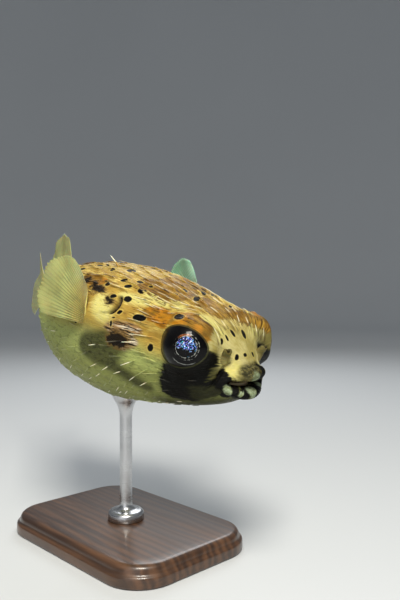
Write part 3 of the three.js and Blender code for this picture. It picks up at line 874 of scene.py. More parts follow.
@dataclass(frozen=True)
class HideColours:
    """The colours of the fish as they lie on its skin and on its spines: its pigments, with painted shade and
    painted highlights.
    """

    cream: Colour = (0.44, 0.3, 0.057)
    cream_light: Colour = (0.76, 0.6, 0.17)
    straw: Colour = (0.35, 0.215, 0.038)
    face: Colour = (0.6, 0.55, 0.25)
    face_low: Colour = (0.37, 0.32, 0.095)
    saddle: Colour = (0.215, 0.105, 0.01)
    saddle_light: Colour = (0.35, 0.2, 0.026)
    # deep brown of the saddles, also used for the painted shadows beside the spines and in the fold
    deep_brown_and_shadow: Colour = (0.055, 0.025, 0.006)
    amber: Colour = (0.42, 0.165, 0.006)
    amber_brown: Colour = (0.2, 0.105, 0.01)
    # cheek, belly and under are painted shade over the pale belly; under is also the dark olive of the random
    # mottles, the eye patch's margin and every shade mark
    cheek: Colour = (0.35, 0.39, 0.12)
    belly: Colour = (0.29, 0.315, 0.09)
    under: Colour = (0.042, 0.043, 0.013)
    # pale cream, partly painted highlight
    cream_highlight: Colour = (0.6, 0.535, 0.165)
    black: Colour = (0.0025, 0.0022, 0.002)
    patch: Colour = (0.003, 0.003, 0.002)
    # dark olive in the eye patch, also the painted shade round the eyes
    olive_and_lid_shade: Colour = (0.03, 0.031, 0.012)
    # near black of the blotches, also the painted shade inside the gill slots and the nostrils
    blotch_and_hollow_shade: Colour = (0.014, 0.009, 0.005)
    gill: Colour = (0.27, 0.15, 0.08)
    gill_pale: Colour = (0.66, 0.56, 0.4)
    blotch_brown: Colour = (0.15, 0.085, 0.022)
    snout_dark: Colour = (0.04, 0.037, 0.015)
    lip_pale: Colour = (0.35, 0.42, 0.26)
    lip_olive: Colour = (0.2, 0.23, 0.11)
    inside: Colour = (0.16, 0.05, 0.026)

    def paint(self, kit: NodeKit) -> Socket:
        """Lays the markings, the painted shade and the painted highlights over each other.

        Args:
            kit: the material's kit.

        Returns:
            The colour of the hide.
        """
        mark, mix, ease, plus, times = kit.attribute, kit.mix, kit.ease, kit.plus, kit.times
        place, lie = kit.place(), mark("lie", vector=True)
        cloud = kit.noise(place, 130, 4)
        fine = kit.noise(place, 900, 3)
        strokes = kit.noise(kit.scaled(lie, (0.14, 0.95, 0.95)), 1, 4, 0.6, 0.25)
        hairs = kit.noise(kit.scaled(lie, (0.2, 2.3, 2.3), (7, 3, 0)), 1, 3, 0.6, 0.2)
        tatter = kit.noise(kit.scaled(lie, (0.42, 1, 1), (2, 9, 4)), 1, 5, 0.65, 0.5)
        streak = mark("streak")
        # how far the edges of marks wander, in millimetres
        wobble = times(kit.math("SUBTRACT", plus(times(fine, 0.6), times(cloud, 0.6)), 0.6), 1.5)
        tear = plus(wobble, kit.centred(tatter, 7.0))

        colour = mix(ease(cloud, 0.38, 0.62), self.cream, self.straw)
        colour = mix(times(ease(strokes, 0.5, 0.66, 0, 0.8), streak), colour, self.cream_light)
        face = mix(ease(plus(cloud, times(tatter, 0.5)), 0.62, 0.88), self.face, self.face_low)
        colour = mix(times(mark("face"), 0.85), colour, face)
        # pale cream patches, partly painted highlight
        cream_highlight = mix(ease(fine, 0.42, 0.62, 0, 0.4), self.cream_highlight, self.face)
        colour = mix(mark("cream_highlight"), colour, cream_highlight)
        amber = mix(ease(cloud, 0.4, 0.62), self.amber, self.amber_brown)
        torn = plus(mark("amber"), kit.centred(tatter, 1.2))
        colour = mix(ease(torn, 0.2, 0.8, 0, 0.92), colour, amber)
        # painted shade: the lower flank and belly darken to grey-green, olive and near black at the bottom,
        # with dark mottles
        colour = mix(mark("cheek"), colour, self.cheek)
        low = plus(mark("belly"), kit.centred(cloud, 1.1))
        colour = mix(ease(low, 0.1, 0.9), colour, self.belly)
        mottle = times(kit.math("MAXIMUM", mark("cheek"), mark("belly")), 0.5)
        colour = mix(times(ease(tatter, 0.5, 0.68), mottle), colour, self.under)
        colour = mix(mark("under"), colour, self.under)
        colour = mix(times(mark("shade"), ease(tatter, 0.35, 0.62, 1, 0.8)), colour, self.under)

        saddle_edge = plus(mark("saddle_edge"), kit.centred(tatter, 9.0))
        brown = mix(ease(cloud, 0.36, 0.62), self.saddle_light, self.saddle)
        brown = mix(ease(hairs, 0.51, 0.61, 0, 0.88), brown, self.deep_brown_and_shadow)
        brown = mix(ease(strokes, 0.59, 0.66, 0, 0.8), brown, self.cream)
        rim = times(ease(saddle_edge, -1.4, -0.3), ease(saddle_edge, 0.3, -0.1, 0, 0.6))
        brown = mix(rim, brown, self.deep_brown_and_shadow)
        colour = mix(ease(saddle_edge, 0.35, -0.45, 0, 0.95), colour, brown)
        crown = plus(hairs, times(mark("face"), 0.05))
        colour = mix(times(ease(crown, 0.6, 0.655, 0, 0.9), streak), colour, self.deep_brown_and_shadow)
        # painted shadow beside each spine's buried ridge and in the fold by the mouth
        colour = mix(mark("groove_shadow"), colour, self.deep_brown_and_shadow)

        gill = mark("gill_streak")
        colour = mix(times(gill, 0.75), colour, self.gill)
        colour = mix(times(gill, ease(strokes, 0.5, 0.58)), colour, self.gill_pale)
        colour = mix(times(gill, ease(hairs, 0.46, 0.54)), colour, self.blotch_and_hollow_shade)
        blotch_edge = plus(mark("blotch_edge"), tear)
        colour = mix(ease(blotch_edge, 2.4, 0.8, 0, 0.75), colour, self.blotch_brown)
        colour = mix(ease(blotch_edge, 1.1, -0.1), colour, self.blotch_and_hollow_shade)
        patch_edge = plus(mark("patch_edge"), times(tear, 0.75))
        deep = mix(ease(plus(tatter, mark("throat")), 1.05, 1.5, 0, 0.9), self.patch, self.olive_and_lid_shade)
        colour = mix(ease(patch_edge, 2, -0.4, 0, 0.6), colour, self.under)
        colour = mix(ease(patch_edge, 0.7, -0.5), colour, deep)
        speckle = times(ease(plus(fine, times(hairs, 0.6)), 0.76, 0.92), 0.32)
        speckle = times(mark("snout_dark"), kit.math("SUBTRACT", 1.0, speckle))
        colour = mix(speckle, colour, self.snout_dark)
        lips = ease(plus(mark("lip_black"), times(tear, 0.5)), 0.4, -0.35)
        colour = mix(lips, colour, self.black)
        pale = ease(plus(mark("lip_pale"), times(tear, 0.3)), 0.3, -0.4)
        colour = mix(pale, colour, mix(ease(fine, 0.4, 0.6), self.lip_pale, self.lip_olive))
        halo = ease(mark("spot_edge"), 0.75, 0.3, 0, 0.22)
        colour = mix(halo, colour, self.cream_light)
        spots = ease(plus(mark("spot_edge"), times(wobble, 0.55)), 0.2, -0.1)
        colour = mix(spots, colour, self.black)
        # painted shade: a dark ring where the lids meet each eye
        colour = mix(ease(mark("lid"), 0.25, 0, 0, 0.9), colour, self.olive_and_lid_shade)
        colour = mix(mark("inside"), colour, self.inside)
        # painted shade inside the gill slots and down the nostrils' openings
        return mix(mark("hollow_shade"), colour, self.blotch_and_hollow_shade)


@dataclass(frozen=True)
class SkinFinish:
    """Wet, leathery hide with fine lengthwise creases."""

    colours: HideColours = field(default_factory=HideColours)
    roughness: float = 0.4
    coat: float = 0.05

    def build(self) -> Material:
        """The material of the skin."""
        kit = MaterialKit("hide")
        place, lie = kit.place(), kit.attribute("lie", vector=True)
        cloud = kit.noise(place, 500, 3)
        creases = kit.noise(kit.scaled(lie, (0.25, 1.5, 1)), 1, 5, 0.62, 0.3)
        grain = kit.ease(kit.cells(place, 2300, "DISTANCE_TO_EDGE").outputs["Distance"], 0, 0.3)
        normal = kit.bump(grain, 0.00009, 0.5, kit.bump(creases, 0.0009, 0.7))
        return kit.finish(
            Base_Color=self.colours.paint(kit), Normal=normal, Coat_Normal=normal,
            Roughness=kit.ease(cloud, 0.3, 0.7, self.roughness - 0.08, self.roughness + 0.14),
            Subsurface_Weight=0.05, Subsurface_Scale=0.001, Subsurface_Radius=(1.0, 0.5, 0.25),
            Specular_IOR_Level=0.07, Coat_Weight=self.coat, Coat_Roughness=0.2,
        )


@dataclass(frozen=True)
class SpineFinish:
    """Spines in a sheath of hide that gives way to bare ivory towards the tip."""

    colours: HideColours = field(default_factory=HideColours)
    ivory: Colour = (0.84, 0.8, 0.55)
    tip: Colour = (0.95, 0.94, 0.82)

    def build(self) -> Material:
        """The material of the spines."""
        kit = MaterialKit("spine")
        along, show = kit.attribute("along"), kit.attribute("bare")
        grown = kit.noise(kit.place(), 700, 2)
        bare = kit.ease(kit.plus(along, kit.times(grown, 0.3)), 0.45, 0.75)
        colour = kit.mix(kit.times(bare, show), self.colours.paint(kit), self.ivory)
        colour = kit.mix(kit.times(kit.ease(along, 0.72, 0.98), show), colour, self.tip)
        return kit.finish(
            Base_Color=colour, Roughness=kit.ease(bare, 0, 1, 0.5, 0.28),
            Normal=kit.bump(kit.noise(kit.place(), 2400, 2), 0.00008, 0.4),
            Subsurface_Weight=0.1, Subsurface_Scale=0.0008, Specular_IOR_Level=0.25,
            Coat_Weight=0.08, Coat_Roughness=0.2,
        )


@dataclass(frozen=True)
class EyeFinish:
    """A glassy dark eye with blue and violet flakes deep in the pupil, which glow as painted glints, and a
    gold rim round it.
    """

    pupil: float = 3.55
    black: Colour = (0.0015, 0.0016, 0.002)
    brown: Colour = (0.01, 0.007, 0.005)
    amber: Colour = (0.36, 0.1, 0.02)
    # silver of the pupil's rim, also the painted highlights on the eye
    silver_and_highlight: Colour = (0.5, 0.52, 0.48)
    # colours of the flakes, which glow as painted glints
    flakes: tuple[tuple[float, Colour], ...] = (
        (0.00, (0.01, 0.02, 0.1)),
        (0.2, (0.05, 0.08, 0.42)),
        (0.36, (0.17, 0.13, 0.62)),
        (0.48, (0.1, 0.22, 0.74)),
        (0.58, (0.05, 0.52, 0.7)),
        (0.66, (0.36, 0.42, 0.92)),
        (0.76, (0.88, 0.92, 1.0)),
    )

    def build(self) -> Material:
        """The material of the eyeballs. The attribute "iris" is the place across the eye in millimetres."""
        kit = MaterialKit("eye_glass")
        mix, ease, plus, times = kit.mix, kit.ease, kit.plus, kit.times
        iris = kit.attribute("iris", vector=True)
        across, up, _ = kit.feed(kit.add("ShaderNodeSeparateXYZ"), Vector=iris).outputs
        length = kit.feed(kit.add("ShaderNodeVectorMath", operation="LENGTH"), Vector=iris)
        uneven = kit.centred(kit.noise(iris, 1.3, 4), 0.8)
        radius = plus(length.outputs["Value"], uneven)
        height = plus(up, times(uneven, 2.5))

        fibres = kit.noise(iris, 2.2, 6, 0.7, 1.2)
        colour = mix(ease(fibres, 0.5, 0.74), self.black, self.brown)
        arc = times(self.band(kit, radius, self.pupil + 0.55, 0.5), ease(height, 2.2, 3.4))
        left = times(ease(across, 1.2, 0), ease(fibres, 0.4, 0.56, 0.15, 0.8))
        colour = mix(times(arc, left), colour, self.amber)
        # silver lines round the pupil, partly the eye's own colour and partly painted highlight; the outer
        # arc on the right is a painted highlight
        torn = kit.noise(iris, 1.1, 3)
        rims = times(self.band(kit, radius, self.pupil + 0.1, 0.1), ease(torn, 0.44, 0.54))
        outer = times(self.band(kit, radius, self.pupil + 0.95, 0.09), ease(torn, 0.52, 0.44))
        outer = times(outer, ease(across, -1, 1.5, 0.15, 0.9))
        colour = mix(kit.math("MAXIMUM", rims, outer), colour, self.silver_and_highlight)
        # painted reflection: a grey band near the lower edge
        low = times(self.band(kit, radius, 6.4, 0.22), ease(up, -4.6, -5.6))
        colour = mix(times(low, 0.5), colour, self.silver_and_highlight)

        inside = ease(radius, self.pupil, self.pupil - 0.3)
        colour = mix(inside, colour, self.black)
        warped = kit.add("ShaderNodeVectorMath", operation="ADD")
        kit.put(warped.inputs[0], iris)
        kit.put(warped.inputs[1], kit.drift(iris, 1.6, 0.7))
        cells = kit.cells(warped.outputs["Vector"], 2.9)
        tint, lit, _ = kit.feed(kit.add("ShaderNodeSeparateColor"), Color=cells.outputs["Color"]).outputs
        clumps = ease(plus(kit.noise(iris, 0.9, 3), times(ease(height, -2, 0.6), 0.3)), 0.6, 0.7)
        facet = ease(cells.outputs["Distance"], 0.62, 0.34)
        share = times(times(clumps, ease(lit, 0.22, 0.38)), times(facet, inside))
        hue = plus(times(tint, 0.62), times(kit.noise(iris, 0.7, 2), 0.4))
        flake = kit.ramp(hue, self.flakes)
        # the flakes glow by emission: painted glints
        return kit.finish(
            Base_Color=mix(share, colour, flake), Emission_Color=mix(share, (0, 0, 0), flake),
            Emission_Strength=0.6, Roughness=0.35, Specular_IOR_Level=0.04, Coat_Weight=0.75,
            Coat_Roughness=0.02, Coat_IOR=1.24, Normal=kit.bump(fibres, 0.0001, 0.4),
        )

    @staticmethod
    def band(kit: NodeKit, radius: Socket, middle: float, half: float) -> Socket:
        """1 where the radius is within half of the middle, fading to 0 outside."""
        off = kit.math("ABSOLUTE", kit.math("SUBTRACT", radius, middle))
        return kit.ease(off, half, half * 0.35)


@dataclass(frozen=True)
class FinFinish:
    """Thin, clear fin skin, or the stiff rays that spread it."""

    name: str
    near: Colour
    far: Colour
    alpha: float = 1.0
    roughness: float = 0.38

    def build(self) -> Material:
        """The material. The attribute "along" runs from the root at 0 to the edge at 1."""
        kit = MaterialKit(self.name)
        along = kit.attribute("along")
        cloud = kit.noise(kit.place(), 260, 4)
        colour = kit.mix(kit.ease(kit.plus(along, kit.times(cloud, 0.3)), 0.2, 0.75), self.near, self.far)
        colour = kit.mix(kit.ease(cloud, 0.45, 0.7, 0, 0.35), colour, tuple(0.55 * c for c in self.far))
        bands = kit.math("ABSOLUTE", kit.math("SINE", kit.times(along, 62.0)))
        if self.alpha < 1:
            thin = kit.plus(along, kit.times(cloud, 0.2))
            kit.feed(kit.shader, Alpha=kit.ease(thin, 0.1, 0.9, 1, self.alpha))
        return kit.finish(
            Base_Color=colour, Normal=kit.bump(kit.times(bands, cloud), 0.00006, 0.5),
            Roughness=self.roughness, Subsurface_Weight=0.3, Subsurface_Scale=0.001,
            Coat_Weight=0.2, Coat_Roughness=0.2,
        )


@dataclass(frozen=True)
class BeakFinish:
    """Ivory enamel with growth lines, darker towards the gum."""

    edge: Colour = (0.6, 0.48, 0.27)
    gum: Colour = (0.2, 0.09, 0.042)

    def build(self) -> Material:
        """The material of the beak plates. The attribute "along" is 0 at the biting edge."""
        kit = MaterialKit("enamel")
        lines = kit.noise(kit.scaled(kit.place(), (300, 300, 2600)), 1, 3)
        colour = kit.mix(kit.ease(kit.attribute("along"), 0.15, 1), self.edge, self.gum)
        colour = kit.mix(kit.ease(lines, 0.5, 0.75, 0, 0.5), colour, self.gum)
        return kit.finish(
            Base_Color=colour, Normal=kit.bump(lines, 0.00008, 0.5), Roughness=0.3,
            Coat_Weight=0.4, Coat_Roughness=0.12, Subsurface_Weight=0.1, Subsurface_Scale=0.0006,
        )


@dataclass(frozen=True)
class WoodFinish:
    """Dark walnut with long grain, fine pores and a satin varnish."""

    dark: Colour = (0.035, 0.016, 0.008)
    warm: Colour = (0.13, 0.058, 0.024)

    def build(self) -> Material:
        """The material of the base."""
        kit = MaterialKit("walnut")
        place = kit.place()
        grain = kit.noise(kit.scaled(place, (9, 95, 95)), 1, 6, 0.62, 1.6)
        rings = kit.add("ShaderNodeTexWave", wave_type="BANDS", bands_direction="Y")
        wide = kit.scaled(place, (14, 95, 60))
        kit.feed(rings, Vector=wide, Scale=0.9, Distortion=7.0, Detail=4.0, Detail_Scale=1.4)
        pores = kit.noise(kit.scaled(place, (160, 3400, 3400)), 1, 2)
        tone = kit.plus(kit.times(grain, 0.8), kit.times(rings.outputs["Fac"], 0.2))
        colour = kit.mix(kit.ease(tone, 0.3, 0.8), self.dark, self.warm)
        colour = kit.mix(kit.ease(pores, 0.6, 0.72, 0, 0.7), colour, self.dark)
        return kit.finish(
            Base_Color=colour, Roughness=kit.ease(grain, 0.3, 0.7, 0.34, 0.48),
            Normal=kit.bump(pores, 0.00012, 0.35), Coat_Weight=0.5, Coat_Roughness=0.18,
        )


@dataclass(frozen=True)
class SteelFinish:
    """Turned stainless steel with fine lathe marks and a few faint smudges."""

    colour: Colour = (0.58, 0.585, 0.6)
    smudged: Colour = (0.42, 0.42, 0.43)

    def build(self) -> Material:
        """The material of the rod."""
        kit = MaterialKit("turned_steel")
        place = kit.place()
        lathe = kit.noise(kit.scaled(place, (60, 60, 9000)), 1, 3)
        smudge = kit.noise(place, 90, 4)
        return kit.finish(
            Base_Color=kit.mix(kit.ease(smudge, 0.4, 0.75, 0, 0.4), self.colour, self.smudged),
            Roughness=kit.ease(kit.plus(lathe, smudge), 0.7, 1.3, 0.22, 0.4),
            Normal=kit.bump(lathe, 0.00003, 0.5), Metallic=1.0,
        )


# --- sweeps made with Geometry Nodes


@dataclass(frozen=True)
class SweepTree:
    """A Geometry Nodes tree that turns chains of edges into tapering rods.

    Each vertex's attribute "radius" gives the rod's radius there in metres.
    """

    name: str
    sides: int
    material: Material
    thickness: float = 1.0
    sockets: tuple[tuple[str, str, str], ...] = (
        ("Paths", "INPUT", "Geometry"),
        ("Sides", "INPUT", "Int"),
        ("Thickness", "INPUT", "Float"),
        ("Rods", "OUTPUT", "Geometry"),
    )

    def tree(self) -> bpy.types.NodeTree:
        """Builds the tree, with the number of sides and the thickness as named inputs."""
        tree = bpy.data.node_groups.new(self.name, "GeometryNodeTree")
        for name, way, kind in self.sockets:
            tree.interface.new_socket(name, in_out=way, socket_type=f"NodeSocket{kind}")
        kit = NodeKit(tree)
        start, end = kit.add("NodeGroupInput"), kit.add("NodeGroupOutput")
        chain = kit.feed(kit.add("GeometryNodeMeshToCurve"), Mesh=start.outputs["Paths"])
        wide = kit.feed(kit.add("GeometryNodeInputNamedAttribute", data_type="FLOAT"), Name="radius")
        radius = kit.times(wide.outputs["Attribute"], start.outputs["Thickness"])
        sized = kit.add("GeometryNodeSetCurveRadius")
        kit.feed(sized, Curve=chain.outputs["Curve"], Radius=radius)
        circle = kit.add("GeometryNodeCurvePrimitiveCircle", mode="RADIUS")
        kit.feed(circle, Resolution=start.outputs["Sides"], Radius=1.0)
        rod = kit.add("GeometryNodeCurveToMesh")
        kit.feed(rod, Curve=sized.outputs["Curve"], Profile_Curve=circle.outputs["Curve"], Fill_Caps=True)
        if "Scale" in rod.inputs:
            kit.feed(rod, Scale=radius)
        shaded = kit.feed(kit.add("GeometryNodeSetShadeSmooth"), Geometry=rod.outputs["Mesh"])
        real = kit.feed(kit.add("GeometryNodeRealizeInstances"), Geometry=shaded.outputs["Geometry"])
        dressed = kit.add("GeometryNodeSetMaterial")
        kit.feed(dressed, Geometry=real.outputs["Geometry"], Material=self.material)
        kit.feed(end, Rods=dressed.outputs["Geometry"])
        return tree

    def run(self, name: str, paths: Array, attributes: dict[str, Array]) -> Piece:
        """Makes one mesh of all the rods.

        Args:
            name: the piece's name.
            paths: one row of points in metres for each rod, all of equal count.
            attributes: numbers for every point, by name; "radius" is one of them.

        Returns:
            The finished mesh object, with no modifier left on it.
        """
        count, steps = paths.shape[:2]
        mesh = bpy.data.meshes.new(name)
        edges = [(r * steps + i, r * steps + i + 1) for r in range(count) for i in range(steps - 1)]
        mesh.from_pydata([tuple(p) for p in paths.reshape(-1, 3).tolist()], edges, [])
        made = bpy.data.objects.new(name, mesh)
        bpy.context.scene.collection.objects.link(made)
        flat = {key: values.reshape(count * steps, *values.shape[2:]) for key, values in attributes.items()}
        write_attributes(made, **flat)
        tree = self.tree()
        modifier = made.modifiers.new("sweep", "NODES")
        modifier.node_group = tree
        inputs = {item.name: item.identifier for item in tree.interface.items_tree if item.in_out == "INPUT"}
        modifier[inputs["Sides"]] = self.sides
        modifier[inputs["Thickness"]] = self.thickness
        depsgraph = bpy.context.evaluated_depsgraph_get()
        solid = bpy.data.meshes.new_from_object(
            made.evaluated_get(depsgraph), preserve_all_data_layers=True, depsgraph=depsgraph
        )
        made.modifiers.clear()
        made.data = solid
        solid.name = name
        return made


# --- the coat of spines


@dataclass
class SpineCoat:
    """Spines in offset rows, folded back along the body, longest on the forehead and raised on the belly."""

    form: FishForm
    steps: int = 8
    sides: int = 6
    first_station: float = 12.5
    last_station: float = 149.0
    last_tip: float = 157.0
    # each pair is for the head and for the trunk
    row_pitch: Pair = (5.0, 7.2)
    girth_pitch: Pair = (3.9, 5.4)
    # each pair is for the flanks and for the back
    lengths: Pair = (6.2, 9.0)
    half_thickness: Pair = (0.31, 0.33)
    seed: int = 11
    paths: Array = field(init=False)
    radii: Array = field(init=False)
    bare: Array = field(init=False)
    place: Array = field(init=False)

    def __post_init__(self) -> None:
        """Lays out every spine."""
        self.along = np.linspace(0, 1, self.steps)
        station, angle = self.rows()
        self.lay(station, angle)

    def rows(self) -> tuple[Array, Array]:
        """Stations and angles of all roots, before those in the way of eyes, fins and gills are left out."""
        rng = np.random.default_rng(self.seed)
        stations, angles = [], []
        station, row = self.first_station, 0
        while station < self.last_station:
            ring = self.form.body_rings(np.array(station))
            girth = math.pi * (ring[1] + (ring[2] - ring[3]) / 2)
            trunk = smooth(station, 20, 60)
            count = round(girth / blend(*self.girth_pitch, trunk))
            turns = (np.arange(count) + 0.5 * (row % 2) + rng.uniform(-0.16, 0.16, count)) / count
            stations.append(station + rng.uniform(-1.1, 1.1, count))
            angles.append(2 * math.pi * turns)
            station += blend(*self.row_pitch, trunk)
            row += 1
        return np.concatenate(stations), np.concatenate(angles)

    def lay(self, station: Array, angle: Array) -> None:
        """Traces each spine back over the skin and keeps those with room.

        Args:
            station: distance of each root back from the lips.
            angle: each root's turn round the body.
        """
        rng = np.random.default_rng(self.seed + 1)
        form, t = self.form, self.along
        root, normal = form.surface(station, angle)
        ahead, _ = form.surface(station + 1.0, angle)
        ring = form.body_rings(station)
        level = (root[:, 2] - ring[:, 3]) / (ring[:, 2] - ring[:, 3])
        back, belly = smooth(level, 0.5, 0.2), 1 - smooth(level, 0.22, 0.16)
        length = blend(*self.lengths, back) * blend(1.0, 0.75, belly)
        length = length * (0.55 + 0.45 * smooth(station, 11, 14)) * (1 - 0.5 * smooth(station, 100, 45))
        length = length * rng.uniform(0.85, 1.15, len(station))
        pace = length / np.maximum(np.linalg.norm(ahead - root, axis=1), 0.6)
        wild = rng.uniform(0, 1, len(station))
        lift = 0.15 + 0.2 * (1 - back) - 0.15 * belly + np.where(wild > 0.93, 0.9 - 0.6 * belly, 0.0)
        aside, _ = form.surface(station, angle + 0.02)
        droop = 0.16 * smooth((0.6 - level) / 0.4) * smooth(station, 20, 15) * smooth(level / 0.1)
        drift = rng.uniform(-0.05, 0.05, len(station)) - droop * np.sign(aside[:, 2] - root[:, 2])
        drift = (drift * smooth(station, 14, 20))[:, None]
        places, normals = form.surface(station[:, None] + pace[:, None] * t, angle[:, None] + drift * t)
        height = -0.35 + 0.62 * smooth(t / 0.22) + lift[:, None] * t**1.7
        height = height - 0.3 * belly[:, None]
        paths = places + normals * height[..., None]
        thick = blend(*self.half_thickness, back) * (1 - 0.3 * smooth(station, 100, 40))
        thick = thick * rng.uniform(0.9, 1.1, len(station))
        shape = (0.55 + 0.45 * smooth(t / 0.2)) * (1 - t) ** 0.62 + 0.07
        radii = thick[:, None] * shape
        room = self.has_room(paths, station, pace)
        erect_path, erect_radius = self.erect_spine()
        self.paths = np.concatenate([paths[room], erect_path[None]])
        self.radii = np.concatenate([radii[room], erect_radius[None]])
        hidden = np.where(rng.uniform(0, 1, len(station)) < 0.62, 0.08, 1.0)
        crown = 1 - smooth(station, 30, 14)
        show = blend(0.42 * wild + 0.25 * crown, hidden, np.maximum(belly, 1 - back))
        self.bare = np.concatenate([show[room], [1.0]])
        self.place = np.concatenate(
            [np.stack([angle / (2 * math.pi) % 1, station / form.length], axis=1)[room], [[0.31, 0.454]]]
        )
        LOG.info("spines laid: %d", len(self.paths))

    def erect_spine(self) -> tuple[Array, Array]:
        """The one spine that stands up on the back, its path and its radii."""
        t = self.along
        start, lean, droop = np.array([(-72.6, -8.0, 24.4), (-4.2, -1.2, 4.4), (-0.6, 0, -0.3)])
        return start + np.outer(t, lean) + np.outer(t**2, droop), 0.42 * (1 - t) ** 0.7 + 0.05

    def has_room(self, paths: Array, station: Array, pace: Array) -> Array:
        """Whether each spine keeps clear of the eyes, gills, fins, mouth and stand.

        Args:
            paths: the spines' points.
            station: each root's station.
            pace: how far each spine reaches back.

        Returns:
            One truth value for each spine.
        """
        form = self.form
        room = station + pace < self.last_tip
        for side in Side:
            away, height, _ = form.eye.seen_from(paths, side)
            room &= ((away > 1.5) | (height < -2)).all(axis=1)
        s, y, z = -paths[..., 0], np.abs(paths[..., 1]), paths[..., 2]
        room &= ~((s > 46) & (s < 67) & (z > 1.5) & (z < 18.5) & (y > 19)).any(axis=1)
        room &= ~((s > 117) & (s < 143) & (y < 2.4)).any(axis=1)
        room &= ~((np.hypot(s - form.rod_station, y) < 8.5) & (z < 0)).any(axis=1)
        room &= ~((s < 21) & (z < -7)).any(axis=1)
        return room

    def ridge_points(self) -> tuple[Array, Array]:
        """Points along the buried part of each spine, and how strongly each lifts the hide over it."""
        share = np.linspace(0.04, 0.72, 9)
        index = share * (self.steps - 1)
        low = index.astype(int)
        part = (index - low)[:, None]
        points = self.paths[:, low] * (1 - part) + self.paths[:, np.minimum(low + 1, self.steps - 1)] * part
        strength = np.broadcast_to(smooth(share / 0.15) * (1 - smooth(share, 0.35, 0.4)), points.shape[:2])
        return points.reshape(-1, 3), strength.reshape(-1)

    def build(self, markings: Markings, finish: Material) -> Piece:
        """Sweeps the spines and marks them like the skin at their roots.

        Args:
            markings: what measures the markings.
            finish: the spines' material.

        Returns:
            The piece.
        """
        count = len(self.paths)
        spread = (count, self.steps)
        attributes = markings.measure(self.paths.reshape(-1, 3))
        attributes = {name: values.reshape(spread) for name, values in attributes.items()}
        clear = np.minimum(attributes["patch_edge"], attributes["spot_edge"] + 0.5).min(axis=1)
        self.bare = self.bare * (0.05 + 0.95 * smooth(clear))
        attributes["radius"] = self.radii * MM
        attributes["along"] = np.broadcast_to(self.along, spread)
        attributes["bare"] = np.repeat(self.bare[:, None], self.steps, axis=1)
        attributes["spine"] = np.repeat(np.arange(count, dtype=float)[:, None], self.steps, axis=1)
        attributes["lie"] = lie_of(self.form, self.paths.reshape(-1, 3)).reshape(*spread, 3)
        sweep = SweepTree("spine_sweep", self.sides, finish)
        piece = sweep.run("spines", self.form.posed(self.paths), attributes)
        self.unwrap(piece.data)
        return dress(piece, finish, "skin")

    def unwrap(self, mesh: bpy.types.Mesh) -> None:
        """Gives each spine a patch of the bake map at its root's place on an unwrap of the skin."""
        patch = 0.003
        number, along = np.zeros(len(mesh.vertices), np.float32), np.zeros(len(mesh.vertices), np.float32)
        mesh.attributes["spine"].data.foreach_get("value", number)
        mesh.attributes["along"].data.foreach_get("value", along)
        corner = np.zeros(len(mesh.loops), np.int32)
        mesh.loops.foreach_get("vertex_index", corner)
        around = (corner % self.sides) / self.sides
        centre = self.place[np.rint(number[corner]).astype(int)]
        uv = 0.01 + 0.98 * centre + patch * (np.stack([around, along[corner]], axis=1) - 0.5)
        layer = mesh.uv_layers.new(name="OFBake")
        layer.data.foreach_set("uv", uv.astype(np.float32).ravel())


def lie_of(form: FishForm, places: Array) -> Array:
    """Coordinates that follow the lie of the coat: along the body, and round a cylinder of even girth."""
    angle = np.arctan2(places[:, 2] - 0.5, places[:, 1])
    girth = 22.0
    return np.stack([-places[:, 0], girth * np.cos(angle), girth * np.sin(angle)], axis=1)


def away_from_line(points: Array, line: Sequence[Sequence[float]]) -> Array:
    """Distance of each point from a run of straight pieces."""
    corners = np.array(line)
    nearest = np.full(len(points), 99.0)
    for start, end in zip(corners[:-1], corners[1:]):
        step = end - start
        share = np.clip((points - start) @ step / (step @ step), 0, 1)
        nearest = np.minimum(nearest, np.linalg.norm(points - start - share[:, None] * step, axis=1))
    return nearest


# --- the skin


